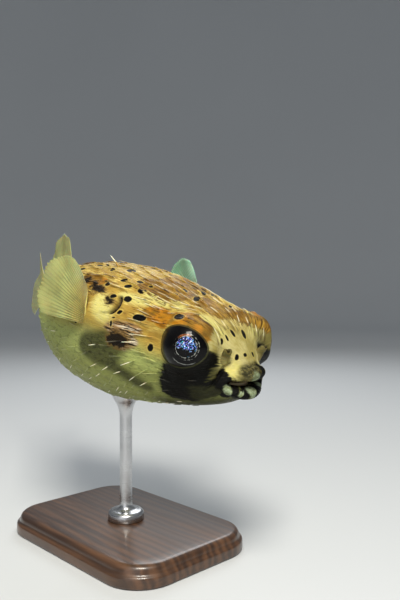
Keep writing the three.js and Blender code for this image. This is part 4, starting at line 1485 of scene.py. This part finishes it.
@dataclass
class Skin:
    """The hide as one closed surface from the back of the mouth to the end of the tail stalk."""

    form: FishForm
    around: int = 280
    face_step: float = 0.36
    head_step: float = 0.46
    trunk_step: float = 0.88
    eye_turn: float = 0.38
    # the fold that runs from beside the nostril down behind the corner of the mouth, on the left
    fold: tuple[Triple, ...] = (
        (-7.4, 7.2, 0.6),
        (-8.3, 8.6, -0.4),
        (-8.9, 9.5, -2.7),
        (-9.3, 10.4, -5.0),
        (-11.0, 10.9, -7.9),
        (-13.4, 11.4, -9.8),
    )
    grid: Array = field(init=False)
    normals: Array = field(init=False)

    def __post_init__(self) -> None:
        """Lays out the smooth grid that everything else is measured on."""
        profile = self.form.profile()
        keys = self.keys(profile)
        rings = profile(keys)
        self.angles = self.spread_angles()
        self.grid = self.form.ring_points(rings[:, None, :], self.angles[None, :])
        self.normals = grid_normals(self.grid)
        self.inside = 1 - smooth(keys, 6.2, 2.4)

    def keys(self, profile: SmoothTable) -> Array:
        """Distances along the skin of every ring, close together on the face and further apart behind it."""
        rows = profile.rows
        last = rows[-1, 0]
        keys = [0.0]
        while keys[-1] < last:
            station = -float(np.interp(keys[-1], rows[:, 0], rows[:, 1]))
            step = blend(self.face_step, self.head_step, smooth(station, 30, 8))
            step = blend(step, self.trunk_step, smooth(station, 54, 14))
            keys.append(keys[-1] + float(step))
        return np.append(keys[:-1], last)

    def spread_angles(self) -> Array:
        """Turns of the points round a ring, closer together at the height of the eyes."""
        turn = np.linspace(0, 2 * math.pi, 4001)
        eyes = (self.eye_turn, math.pi - self.eye_turn, 2 * math.pi + self.eye_turn)
        weight = 1 + 1.2 * sum(bell(turn - eye, 0.5) for eye in eyes)
        total = np.concatenate([[0], np.cumsum((weight[1:] + weight[:-1]) / 2)])
        return np.interp(np.arange(self.around) / self.around * total[-1], total, turn)

    def relief(self, coat: SpineCoat) -> Array:
        """Height of the hide's own detail at every vertex.

        Args:
            coat: the spines, whose roots lift the hide.

        Returns:
            Millimetres along the normal.
        """
        points = self.grid.reshape(-1, 3)
        height = np.zeros(len(points))
        centres, strength = coat.ridge_points()
        tree = KDTree(len(centres))
        for i, centre in enumerate(centres):
            tree.insert(centre, i)
        tree.balance()
        near = [tree.find(point) for point in points]
        distance = np.array([found[2] for found in near])
        index = np.array([found[1] for found in near])
        low = smooth(-points[:, 2], 4, 8)
        height += (0.26 - 0.17 * low) * bell(distance, 0.75) * strength[index]
        # painted shadow: a dark line beside each ridge, for the hide's paint
        self.groove_shadow = 0.7 * bell(distance - 0.95, 0.34) * strength[index]
        s, y, z = -points[:, 0], points[:, 1], points[:, 2]
        gill = self.form.gill
        behind, share = gill.across(points)
        reach = smooth((1.05 - np.abs(share)) / 0.35) * (np.abs(y) > gill.flank)
        height -= gill.depth * bell(behind, gill.width) * reach
        height += 0.75 * bell(behind - 2.2, 1.5) * reach + 0.3 * bell(behind + 2.0, 1.6) * reach
        creases = np.sin(2.4 * z + 0.35 * s + 1.3 * np.sin(0.31 * s)) * np.sin(0.23 * s + 0.9)
        under = smooth(-z, 6, 8) * smooth(s, 26, 10) * (1 - smooth(s, 112, 20))
        height += 0.1 * creases * under
        lips = (1 - smooth(s, 3.5, 3.0)) * smooth(s, -0.2, 1.4)
        turn = np.arctan2(z - self.form.mouth.level, y)
        height += 0.11 * np.sin(34 * turn + 2.0 * np.sin(1.7 * s)) * lips
        off = away_from_line(np.stack([points[:, 0], np.abs(y), z], axis=1), self.fold)
        height -= 0.45 * bell(off, 0.55)
        height += 0.3 * bell(off - 1.3, 0.9)
        # painted shade in the fold's crease
        self.groove_shadow = np.maximum(self.groove_shadow, 0.6 * bell(off, 0.4))
        return height

    def build(self, coat: SpineCoat, markings: Markings, finish: Material) -> Piece:
        """Makes the piece with its relief and markings.

        Args:
            coat: the spines.
            markings: what measures the markings.
            finish: the hide's material.

        Returns:
            The piece.
        """
        rings, around = self.grid.shape[:2]
        flat = self.grid.reshape(-1, 3)
        raised = flat + self.normals.reshape(-1, 3) * self.relief(coat)[:, None]
        poles = np.stack([self.grid[0].mean(axis=0), self.grid[-1].mean(axis=0)])
        points = np.concatenate([raised, poles])
        faces = ring_faces(rings, around)
        first, last, base = len(raised), len(raised) + 1, (rings - 1) * around
        faces += [(first, i, (i + 1) % around) for i in range(around)]
        faces += [(last, base + (i + 1) % around, base + i) for i in range(around)]
        piece = new_mesh("skin", self.form.posed(points), faces)
        inside = np.repeat(self.inside, around)
        measured = markings.measure(flat, inside)
        gill = self.form.gill
        # painted shade inside the gill slot
        behind, share = gill.across(flat)
        dark = bell(behind, 0.7) * smooth((1.02 - np.abs(share)) / 0.2) * (np.abs(flat[:, 1]) > gill.flank)
        measured["hollow_shade"] = np.clip(dark * 1.3, 0, 1)
        # painted shadow beside the spines on the back and on the face, and in the fold
        measured["groove_shadow"] = self.groove_shadow * np.maximum(measured["streak"], flat[:, 0] > -14)
        measured["lie"] = lie_of(self.form, flat)
        write_attributes(piece, **{n: np.concatenate([v, v[:1], v[-1:]]) for n, v in measured.items()})
        return dress(piece, finish, "skin", "head", "lower_jaw", "trunk", "tail_stalk")


@dataclass
class Nostrils:
    """The two short fleshy tubes on the snout, each with a flared, notched rim."""

    form: FishForm
    place: Triple = (-8.7, 8.5, 2.3)
    lean: Triple = (0.55, 0.22, 0.8)
    around: int = 40

    def build(self, skin: Skin, markings: Markings, finish: Material) -> list[Piece]:
        """Makes both tubes.

        Args:
            skin: the hide that the tubes grow from.
            markings: what measures the markings.
            finish: the hide's material.

        Returns:
            The two pieces.
        """
        # radius and height up the outside, over the rim and down the inside
        section = (
            (1.75, -1.3), (1.6, -0.5), (1.42, 0.5), (1.32, 1.5), (1.28, 2.4), (1.24, 3.1),
            (1.05, 3.6), (0.82, 3.6), (0.64, 3.2), (0.52, 2.6), (0.44, 2.0), (0.02, 1.8),
        )
        table = SmoothTable([[i, *pair] for i, pair in enumerate(section)])
        rows = table(np.linspace(0, len(section) - 1, 34))
        made = []
        for side in Side:
            outward = unit(np.array(self.lean) * [1, side.value, 1])
            flat = skin.grid.reshape(-1, 3)
            want = np.array(self.place) * [1, side.value, 1]
            foot = flat[int(np.argmin(((flat - want) ** 2).sum(axis=1)))]
            across = unit(np.cross([0.0, 0.0, 1.0], outward))
            up = np.cross(outward, across)
            turn = full_turn(self.around)
            flare = 1 + 0.16 * np.cos(2 * turn)[None, :] * smooth(rows[:, 1:], 0.8, 1.2)
            rim = 0.45 * np.cos(2 * turn)[None, :] * smooth(rows[:, 1:], 1.2, 1.2)
            radius = rows[:, :1] * flare
            grid = (
                foot
                + across * (radius * np.cos(turn))[..., None] * side.value
                + up * (radius * np.sin(turn) * 1.25)[..., None]
                + outward * (rows[:, 1:] + rim)[..., None]
            )
            points = grid.reshape(-1, 3)
            faces = ring_faces(len(rows), self.around, caps=True)
            piece = new_mesh(f"nostril_{side.word}", self.form.posed(points), faces)
            measured = markings.measure(points)
            tall = np.repeat(rows[:, 1], self.around)
            # painted shade down inside the tube's opening
            hollow = np.repeat(smooth((np.arange(len(rows)) / len(rows) - 0.62) / 0.15), self.around)
            measured["saddle_edge"] = np.full(len(points), 6.0)
            measured["amber"] = np.full(len(points), 0.35)
            measured["shade"] = 0.45 + 0.4 * smooth(tall, -0.4, 2.6)
            measured["hollow_shade"] = 0.75 * hollow
            measured["lie"] = lie_of(self.form, points)
            write_attributes(piece, **measured)
            made.append(dress(piece, finish, "skin"))
        return made


@dataclass
class Eyes:
    """The two eyeballs, each a little bulged over its iris, turned forwards the way the fish looks."""

    form: FishForm
    gaze: Triple = (3.15, 0.55, 8.25)
    bulge: float = 0.2
    rings: int = 90
    around: int = 96

    def build(self, finish: Material) -> list[Piece]:
        """Makes both eyeballs.

        Args:
            finish: the eyes' material.

        Returns:
            The two pieces.
        """
        socket = self.form.eye
        made = []
        for side in Side:
            axis = socket.axis_at(side)
            along = unit(np.array([1.0, 0.0, 0.0]) - axis * axis[0])
            up = np.cross(along, axis) * side.value
            look = unit(along * self.gaze[0] + up * self.gaze[1] + axis * self.gaze[2])
            first = unit(np.array([1.0, 0.0, 0.0]) - look * look[0])
            second = unit(up - look * (up @ look) - first * (up @ first))
            share = np.linspace(0.004, 1, self.rings)
            polar = math.pi * share**1.35 * 0.998
            turn = full_turn(self.around)
            arc = socket.radius * polar
            radius = socket.radius + self.bulge * bell(arc, 4.4)
            flat = np.cos(turn)[None, :, None] * first + np.sin(turn)[None, :, None] * second
            grid = socket.centre_at(side) + radius[:, None, None] * (
                np.sin(polar)[:, None, None] * flat + np.cos(polar)[:, None, None] * look
            )
            points = grid.reshape(-1, 3)
            faces = ring_faces(self.rings, self.around, caps=True)
            piece = new_mesh(f"eyeball_{side.word}", self.form.posed(points), faces)
            iris = arc[:, None, None] * np.stack([np.cos(turn), np.sin(turn), 0 * turn], axis=-1)
            write_attributes(piece, iris=iris.reshape(-1, 3))
            made.append(dress(piece, finish, "eye", f"eye_{side.word}"))
        return made


@dataclass
class Beak:
    """The two fused plates of teeth that stand just inside the lips."""

    form: FishForm
    half_width: float = 5.0
    reach: float = 2.6
    thickness: float = 1.1
    height: float = 2.3
    upper: Pair = (5.5, 0.75)
    lower: Pair = (6.7, -0.55)

    def build(self, finish: Material) -> list[Piece]:
        """Makes both plates.

        Args:
            finish: the plates' material.

        Returns:
            The two pieces.
        """
        return [
            self.plate("beak_plate_upper", "beak_upper", self.upper, 1, finish),
            self.plate("beak_plate_lower", "beak_lower", self.lower, -1, finish),
        ]

    def plate(self, name: str, node: str, place: Pair, direction: int, finish: Material) -> Piece:
        """One curved plate, thin and slightly scalloped at its biting edge.

        Args:
            name: the piece's name.
            node: the CAD node that it stands for.
            place: how far back it lies, and its edge's height over the mouth's middle.
            direction: 1 for the upper plate and -1 for the lower.
            finish: the material.

        Returns:
            The piece.
        """
        set_back, edge = place
        turn = np.linspace(-1, 1, 61) * math.pi / 2.4
        end = np.sqrt(np.clip(1 - (np.abs(np.linspace(-1, 1, 61)) ** 6), 0.02, 1))
        # inset from the outer face and height from the biting edge, once round the section
        thick, tall = self.thickness, self.height
        section = np.array([
            (0.62, 0), (0.42, 0.02), (0.22, 0.16), (0.08, 0.5), (0, 1), (0, 1.7), (0.05, tall),
            (thick / 2, tall + 0.12), (thick, tall), (thick, 1.5), (thick * 0.92, 0.8), (thick * 0.8, 0.2),
        ])
        inset, height = section[:, 0][None, :], section[:, 1][None, :] * end[:, None]
        height = height + 0.05 * np.sin(turn * 17)[:, None] * (1 - smooth(section[:, 1] / 0.8))
        cos, sin = np.cos(turn)[:, None], np.sin(turn)[:, None]
        x = -set_back - self.reach * (1 - cos) - inset * cos
        y = (self.half_width - inset) * sin
        z = self.form.mouth.level + edge + direction * height
        points = np.stack([x, y, z], axis=-1).reshape(-1, 3)
        faces = ring_faces(len(turn), len(section), caps=True)
        piece = new_mesh(name, self.form.posed(points), faces)
        write_attributes(piece, along=np.tile(section[:, 1] / self.height, len(turn)))
        return dress(piece, finish, "beak", node)


# --- the fins


@dataclass
class Fin:
    """A fan of branching rays with clear skin between them."""

    form: FishForm
    name: str
    node: str
    rays: int
    lengths: tuple[float, ...]
    fan: Pair
    ripple: float = 0.45
    waves: float = 2.5
    skin_half: float = 0.12

    def blade(self, share: Array) -> tuple[Array, Array, Array, Array]:
        """Root, direction, length and outward bow at each share of the way along the root."""
        raise NotImplementedError

    def middle(self, share: Array, t: Array) -> Array:
        """The middle of the fin's thickness.

        Args:
            share: how far along the root, from 0 to 1.
            t: how far out from the root, from 0 to 1.

        Returns:
            Places in the fish's frame.
        """
        root, direction, length, bow = self.blade(share)
        valley = 1 - 0.03 * np.cos(math.pi * self.rays * share) ** 2
        out = (t * (1 - (1 - valley) * smooth(t, 0.6, 0.4)))[..., None]
        flutter = self.ripple * np.sin(2 * math.pi * self.waves * share + 3.0 * t) * t**1.5
        points = root + direction * length[..., None] * out + bow * out**2
        points[..., 1] += flutter
        return points

    def membrane(self, finish: Material) -> Piece:
        """The closed sheet of skin, with a low ridge over each ray."""
        columns, rows = self.rays * 8 + 1, 26
        share = np.linspace(0, 1, columns)[:, None]
        t = np.linspace(0, 1, rows)[None, :]
        share_grid, t_grid = np.broadcast_arrays(share, t)
        centre = self.middle(share_grid, t_grid)
        across, along = np.gradient(centre, axis=0), np.gradient(centre, axis=1)
        facing = unit(np.cross(across, along))
        ridge = np.abs(np.sin(math.pi * self.rays * share_grid)) ** 6
        half = self.skin_half * (1 + 0.9 * ridge * (1 - 0.6 * t_grid))
        half = half * (1 - 0.5 * smooth(t_grid, 0.9, 0.1))
        front, back = centre + facing * half[..., None], centre - facing * half[..., None]
        ring = np.concatenate([front, back[:, ::-1]], axis=1)
        around = 2 * rows
        faces = ring_faces(columns, around)
        for column in (columns - 1, 0):
            start = column * around
            for j in range(rows - 1):
                a, b = start + j, start + around - 1 - j
                face = (a, a + 1, b - 1, b)
                faces.append(face if column == 0 else tuple(reversed(face)))
        piece = new_mesh(self.name, self.form.posed(ring.reshape(-1, 3)), faces)
        along_t = np.concatenate([t_grid, t_grid[:, ::-1]], axis=1)
        write_attributes(piece, along=along_t.reshape(-1))
        return dress(piece, finish, "fin", self.node)

    def ray_rods(self, finish: Material) -> Piece:
        """The rays, each forked once into two thinner branches."""
        steps = 16
        middle_share = (np.arange(self.rays) + 0.5) / self.rays
        t = np.linspace(0.02, 1.0, steps)
        fork = smooth(t, 0.42, 0.5)
        paths, radii = [], []
        for sense in (-1, 1):
            share = middle_share[:, None] + sense * fork * 0.23 / self.rays
            paths.append(self.middle(share, np.broadcast_to(t, share.shape) * 0.985))
            radii.append(np.broadcast_to(0.3 * (1 - 0.7 * t) + 0.03, share.shape))
        points, radius = np.concatenate(paths), np.concatenate(radii)
        along = np.broadcast_to(t, radius.shape)
        sweep = SweepTree(f"{self.name}_sweep", 8, finish)
        attributes = {"radius": radius * MM, "along": along}
        piece = sweep.run(f"{self.name}_rays", self.form.posed(points), attributes)
        return dress(piece, finish, "fin")

    def build(self, membrane: Material, ray: Material) -> list[Piece]:
        """Makes the membrane and the rays."""
        return [self.membrane(membrane), self.ray_rods(ray)]


@dataclass
class PectoralFin(Fin):
    """A broad, rounded fan on a fleshy root behind the gill opening."""

    side: Side = Side.RIGHT
    root_top: Pair = (63.0, 16.4)
    root_bottom: Pair = (63.5, 3.6)
    splay: Pair = (2.0, 20.0)
    cup: float = 2.0
    curl: Pair = (2.0, 2.4)  # the foremost ray's tip curls back and down by this much

    def blade(self, share: Array) -> tuple[Array, Array, Array, Array]:
        """See Fin.blade."""
        form, side = self.form, self.side.value
        angle, splay = np.radians(blend(*self.fan, share)), np.radians(blend(*self.splay, share))
        arch = np.sin(math.pi * np.clip(share, 0, 1))
        station = blend(self.root_top[0], self.root_bottom[0], share) - 1.2 * arch
        level = blend(self.root_top[1], self.root_bottom[1], share)
        lobe = form.lobe_swell * bell(station - form.lobe_station, form.lobe_length)
        wall = form.body_rings(station)[..., 1] + lobe
        root = np.stack([-station, side * (wall - 0.6 - 1.6 * np.abs(share - 0.45)), level], axis=-1)
        direction = np.stack(
            [-np.cos(angle) * np.cos(splay), side * np.sin(splay), np.sin(angle) * np.cos(splay)], axis=-1
        )
        lead = (1 - np.clip(share, 0, 1)) ** 2
        bow = np.stack([-self.curl[0] * lead, -side * self.cup * arch, -self.curl[1] * lead], axis=-1)
        return root, direction, between(self.lengths, share), bow


@dataclass
class MedianFin(Fin):
    """The dorsal or the anal fin, in the middle plane of the body."""

    root_from: float = 122.0
    root_to: float = 139.0
    up: int = 1

    def blade(self, share: Array) -> tuple[Array, Array, Array, Array]:
        """See Fin.blade."""
        station = blend(self.root_from, self.root_to, share)
        rings = self.form.body_rings(station)
        angle = np.radians(blend(*self.fan, share))
        none = np.zeros_like(station)
        root = np.stack([-station, none, rings[..., 2 if self.up > 0 else 3] - self.up * 1.5], axis=-1)
        direction = np.stack([-np.cos(angle), none, np.sin(angle)], axis=-1)
        bow = np.stack([none, 1.8 * np.sin(math.pi * share), none], axis=-1)
        return root, direction, between(self.lengths, share) + 1.5, bow


@dataclass
class TailFin(Fin):
    """The rounded tail fin at the end of the stalk."""

    root_half: float = 5.6

    def blade(self, share: Array) -> tuple[Array, Array, Array, Array]:
        """See Fin.blade."""
        angle = np.radians(blend(*self.fan, share))
        none = np.zeros_like(angle)
        root = np.stack([none - self.form.length + 1, none, 0.2 + (1 - 2 * share) * self.root_half], axis=-1)
        direction = np.stack([-np.cos(angle), none, np.sin(angle)], axis=-1)
        bow = np.stack([none, 1.5 + 2 * np.sin(2 * math.pi * share), none], axis=-1)
        return root, direction, between(self.lengths, share), bow


# --- the stand


@dataclass
class Stand:
    """A wooden base with a moulded edge, and a turned steel rod with a collar and a cup under the belly."""

    form: FishForm
    length: float = 92.0
    width: float = 64.0
    corner: float = 16.0
    thickness: float = 8.0
    rod_radius: float = 2.6
    collar_radius: float = 7.5
    cup_radius: float = 6.0

    def outline(self, inset: float) -> Array:
        """The base's rounded outline, drawn in by an inset."""
        x, y, r = self.length / 2 - inset, self.width / 2 - inset, self.corner - inset
        rows = []
        for quarter, (cx, cy) in enumerate(((x - r, y - r), (r - x, y - r), (r - x, r - y), (x - r, r - y))):
            turn = (quarter + np.linspace(0, 1, 15)) * math.pi / 2
            rows.append(np.stack([cx + r * np.cos(turn), cy + r * np.sin(turn)], axis=1))
        return np.concatenate(rows)

    def base(self, finish: Material) -> Piece:
        """The base, with a small foot chamfer, a cove and a rounded upper edge."""
        t = self.thickness
        # inset from the outline and height, from the foot up over the moulding
        section = (
            (1.4, 0), (0.6, 0.05), (0.1, 0.45), (0, 1), (0, 3.6), (0.12, 4.1), (0.5, 4.5), (0.95, 4.75),
            (1.25, 5.15), (1.4, 5.7), (1.55, 6.4), (1.9, 7.1), (2.5, 7.6), (3.3, 7.9), (4.4, t), (9, t),
        )
        rings = [np.insert(self.outline(inset), 2, z, axis=1) for inset, z in section]
        faces = ring_faces(len(rings), len(rings[0]), caps=True)
        piece = new_mesh("base", np.concatenate(rings) * MM, faces)
        return dress(piece, finish, "stand_wood", "stand_base")

    def rod(self, skin: Piece, finish: Material) -> Piece:
        """The rod, whose cup is shaped to the belly that rests in it.

        Args:
            skin: the finished hide.
            finish: the rod's material.

        Returns:
            The piece.
        """
        foot, top = self.thickness, self.form.clearance + self.thickness
        r, c, k = self.rod_radius, self.collar_radius, self.cup_radius
        # radius and height: the collar, the rod's waist and the cup
        section = (
            (0.01, foot), (c - 0.3, foot), (c, foot + 0.3), (c, foot + 2.6), (c - 0.25, foot + 3.2),
            (c - 0.8, foot + 3.7), (c - 1.5, foot + 3.95), (r + 2.2, foot + 4.05), (r + 1.2, foot + 4.4),
            (r + 0.45, foot + 5.2), (r + 0.1, foot + 6.4), (r, foot + 8), (r, top - 9),
            (r + 0.15, top - 7.4), (r + 0.55, top - 5.6), (r + 1.3, top - 3.8), (r + 2.3, top - 2.2),
            (k - 0.3, top - 0.4), (k, top + 0.9), (k, top + 2.6), (k - 0.5, top + 3.2),
            (k - 1.6, top + 3.2), (k - 3, top + 3.2), (k - 4.5, top + 3.2), (0.01, top + 3.2),
        )
        rows = []
        for (r0, z0), (r1, z1) in zip(section[:-1], section[1:]):
            pieces = max(1, round(math.hypot(r1 - r0, z1 - z0) / 1.2))
            rows += [(r0 + (r1 - r0) * i / pieces, z0 + (z1 - z0) * i / pieces) for i in range(pieces)]
        rows.append(section[-1])
        around = 72
        turn = full_turn(around)
        tree = BVHTree.FromObject(skin, bpy.context.evaluated_depsgraph_get())
        points = []
        for radius, height in rows:
            for angle in turn:
                x, y, z = radius * math.cos(angle) * MM, radius * math.sin(angle) * MM, height * MM
                hit, _, _, _ = tree.ray_cast(Vector((x, y, 20 * MM)), Vector((0, 0, 1)))
                if hit is not None and height > top - 3:
                    z = min(z, hit.z + 0.15 * MM)
                points.append((x, y, z))
        piece = new_mesh("rod", np.array(points), ring_faces(len(rows), around, caps=True))
        return dress(piece, finish, "stand_metal", "stand_rod")


# --- the studio


@dataclass(frozen=True)
class Lamp:
    """A soft square lamp: where it hangs, where it points, its size, its power and its tint."""

    name: str
    place: Triple
    aim: Triple
    size: float
    power: float
    tint: Colour = (1.0, 1.0, 1.0)


@dataclass
class Studio:
    """A pale floor, soft lamps and the camera."""

    target: Triple = (0.04475, 0.0, 0.10066)
    azimuth: float = 45.83
    elevation: float = 1.006
    distance: float = 0.23631
    lens: float = 38.4
    pale: Colour = (0.62, 0.64, 0.66)
    paler: Colour = (0.64, 0.66, 0.68)
    lamps: tuple[Lamp, ...] = (
        Lamp("key", (0.3, -0.24, 0.56), (0.02, -0.01, 0.1), 0.2, 5.0, (1.0, 0.96, 0.86)),
        Lamp("fill", (0.3, -0.55, 0.16), (0.03, 0.0, 0.1), 0.5, 0.7, (0.98, 0.98, 1.0)),
        Lamp("rim", (-0.35, 0.4, 0.5), (0.0, 0.0, 0.1), 0.35, 1.5, (0.95, 0.98, 1.0)),
    )

    def floor(self) -> Piece:
        """A wide pale floor that curves up into a wall far away."""
        rings, around, rise_from = 40, 96, 0.6
        share = np.linspace(0, 1, rings)
        rise = np.clip((share - rise_from) / (1 - rise_from), 0, 1) * math.pi / 2
        flat = share < rise_from
        radius = np.where(flat, share / rise_from * 1.5, 1.5 + 0.9 * np.sin(rise))
        height = np.where(flat, 0.0, 1.3 * (1 - np.cos(rise)))
        radius[0] = 0.002
        turn = full_turn(around)
        grid = radius[:, None, None] * np.stack([np.cos(turn), np.sin(turn), 0 * turn], axis=-1)
        grid[..., 2] += height[:, None]
        faces = [*ring_faces(rings, around), tuple(range(around))]
        piece = new_mesh("floor", grid.reshape(-1, 3), faces, closed=False)
        kit = MaterialKit("pale_floor")
        cloud = kit.noise(kit.place(), 1.2, 2)
        colour = kit.mix(kit.ease(cloud, 0.3, 0.7), self.pale, self.paler)
        piece.data.materials.append(kit.finish(Base_Color=colour, Roughness=0.8))
        return piece

    def light(self) -> None:
        """Hangs the lamps and sets an even sky."""
        for lamp in self.lamps:
            data = bpy.data.lights.new(lamp.name, "AREA")
            data.shape = "SQUARE"
            data.size = lamp.size
            data.energy = lamp.power
            data.color = lamp.tint
            made = bpy.data.objects.new(lamp.name, data)
            made.location = lamp.place
            direction = Vector(lamp.aim) - Vector(lamp.place)
            made.rotation_euler = direction.to_track_quat("-Z", "Y").to_euler()
            bpy.context.scene.collection.objects.link(made)
        world = bpy.data.worlds.new("sky")
        world.use_nodes = True
        background = world.node_tree.nodes["Background"]
        background.inputs["Color"].default_value = (0.9, 0.95, 1.0, 1.0)
        background.inputs["Strength"].default_value = 0.24
        bpy.context.scene.world = world

    def camera(self) -> None:
        """Stands the camera in front of the fish's right cheek."""
        a, e = math.radians(self.azimuth), math.radians(self.elevation)
        back = Vector((math.sin(a) * math.cos(e), -math.cos(a) * math.cos(e), math.sin(e)))
        data = bpy.data.cameras.new("camera")
        data.lens = self.lens
        data.sensor_width = 36.0
        data.sensor_fit = "AUTO"
        data.clip_start, data.clip_end = 0.01, 20.0
        made = bpy.data.objects.new("camera", data)
        made.location = Vector(self.target) + back * self.distance
        made.rotation_mode = "QUATERNION"
        made.rotation_quaternion = (-back).to_track_quat("-Z", "Y")
        bpy.context.scene.collection.objects.link(made)
        bpy.context.scene.camera = made

    def build(self) -> None:
        """Sets up floor, light and camera."""
        self.floor()
        self.light()
        self.camera()
        bpy.context.scene.view_settings.view_transform = "Standard"


def report(*pieces_made: Piece) -> None:
    """Logs each finished piece and its number of triangles."""
    for piece in pieces_made:
        piece.data.calc_loop_triangles()
        LOG.info("%s: %d triangles", piece.name, len(piece.data.loop_triangles))


def main() -> None:
    """Builds the whole model in order."""
    logging.basicConfig(level=logging.INFO, format="%(name)s %(message)s")
    Studio().build()
    form = FishForm()
    skin = Skin(form)
    markings = Markings(form, skin.grid.reshape(-1, 3), skin.normals.reshape(-1, 3))
    coat = SpineCoat(form)
    hide = SkinFinish().build()
    skin_piece = skin.build(coat, markings, hide)
    report(skin_piece)
    report(coat.build(markings, SpineFinish().build()))
    report(*Nostrils(form).build(skin, markings, hide))
    report(*Eyes(form).build(EyeFinish().build()))
    report(*Beak(form).build(BeakFinish().build()))

    olive = FinFinish("fin_skin_olive", (0.72, 0.6, 0.16), (0.52, 0.54, 0.2), alpha=0.56).build()
    olive_ray = FinFinish("fin_ray_olive", (0.46, 0.36, 0.09), (0.2, 0.21, 0.07)).build()
    # painted light: lighter green copies of the fin finishes for the far pectoral fin
    green = FinFinish("fin_skin_far_lit", (0.2, 0.44, 0.27), (0.22, 0.54, 0.34), alpha=0.76).build()
    green_ray = FinFinish("fin_ray_far_lit", (0.46, 0.66, 0.46), (0.62, 0.86, 0.66)).build()
    lengths = (15.5, 22.5, 27.5, 27, 21)
    fins: list[Fin] = [
        PectoralFin(form, "pectoral_right", "pectoral_fin_right", 22, lengths, (58, 2), side=Side.RIGHT),
        PectoralFin(form, "pectoral_left", "pectoral_fin_left", 22, lengths, (68, -18), side=Side.LEFT),
        MedianFin(form, "dorsal", "dorsal_fin", 14, (17, 23, 24.5, 21, 12), (64, 14)),
        MedianFin(
            form, "anal", "anal_fin", 14, (15, 21, 22, 18, 10), (-64, -14), root_from=126, root_to=141, up=-1
        ),
        TailFin(form, "tail", "tail_fin", 9, (31, 34, 35, 34, 31), (24, -24)),
    ]
    for fin in fins:
        far = fin.name == "pectoral_left"
        report(*fin.build(green if far else olive, green_ray if far else olive_ray))

    stand = Stand(form)
    report(stand.base(WoodFinish().build()), stand.rod(skin_piece, SteelFinish().build()))


if __name__ == "__main__":
    main()
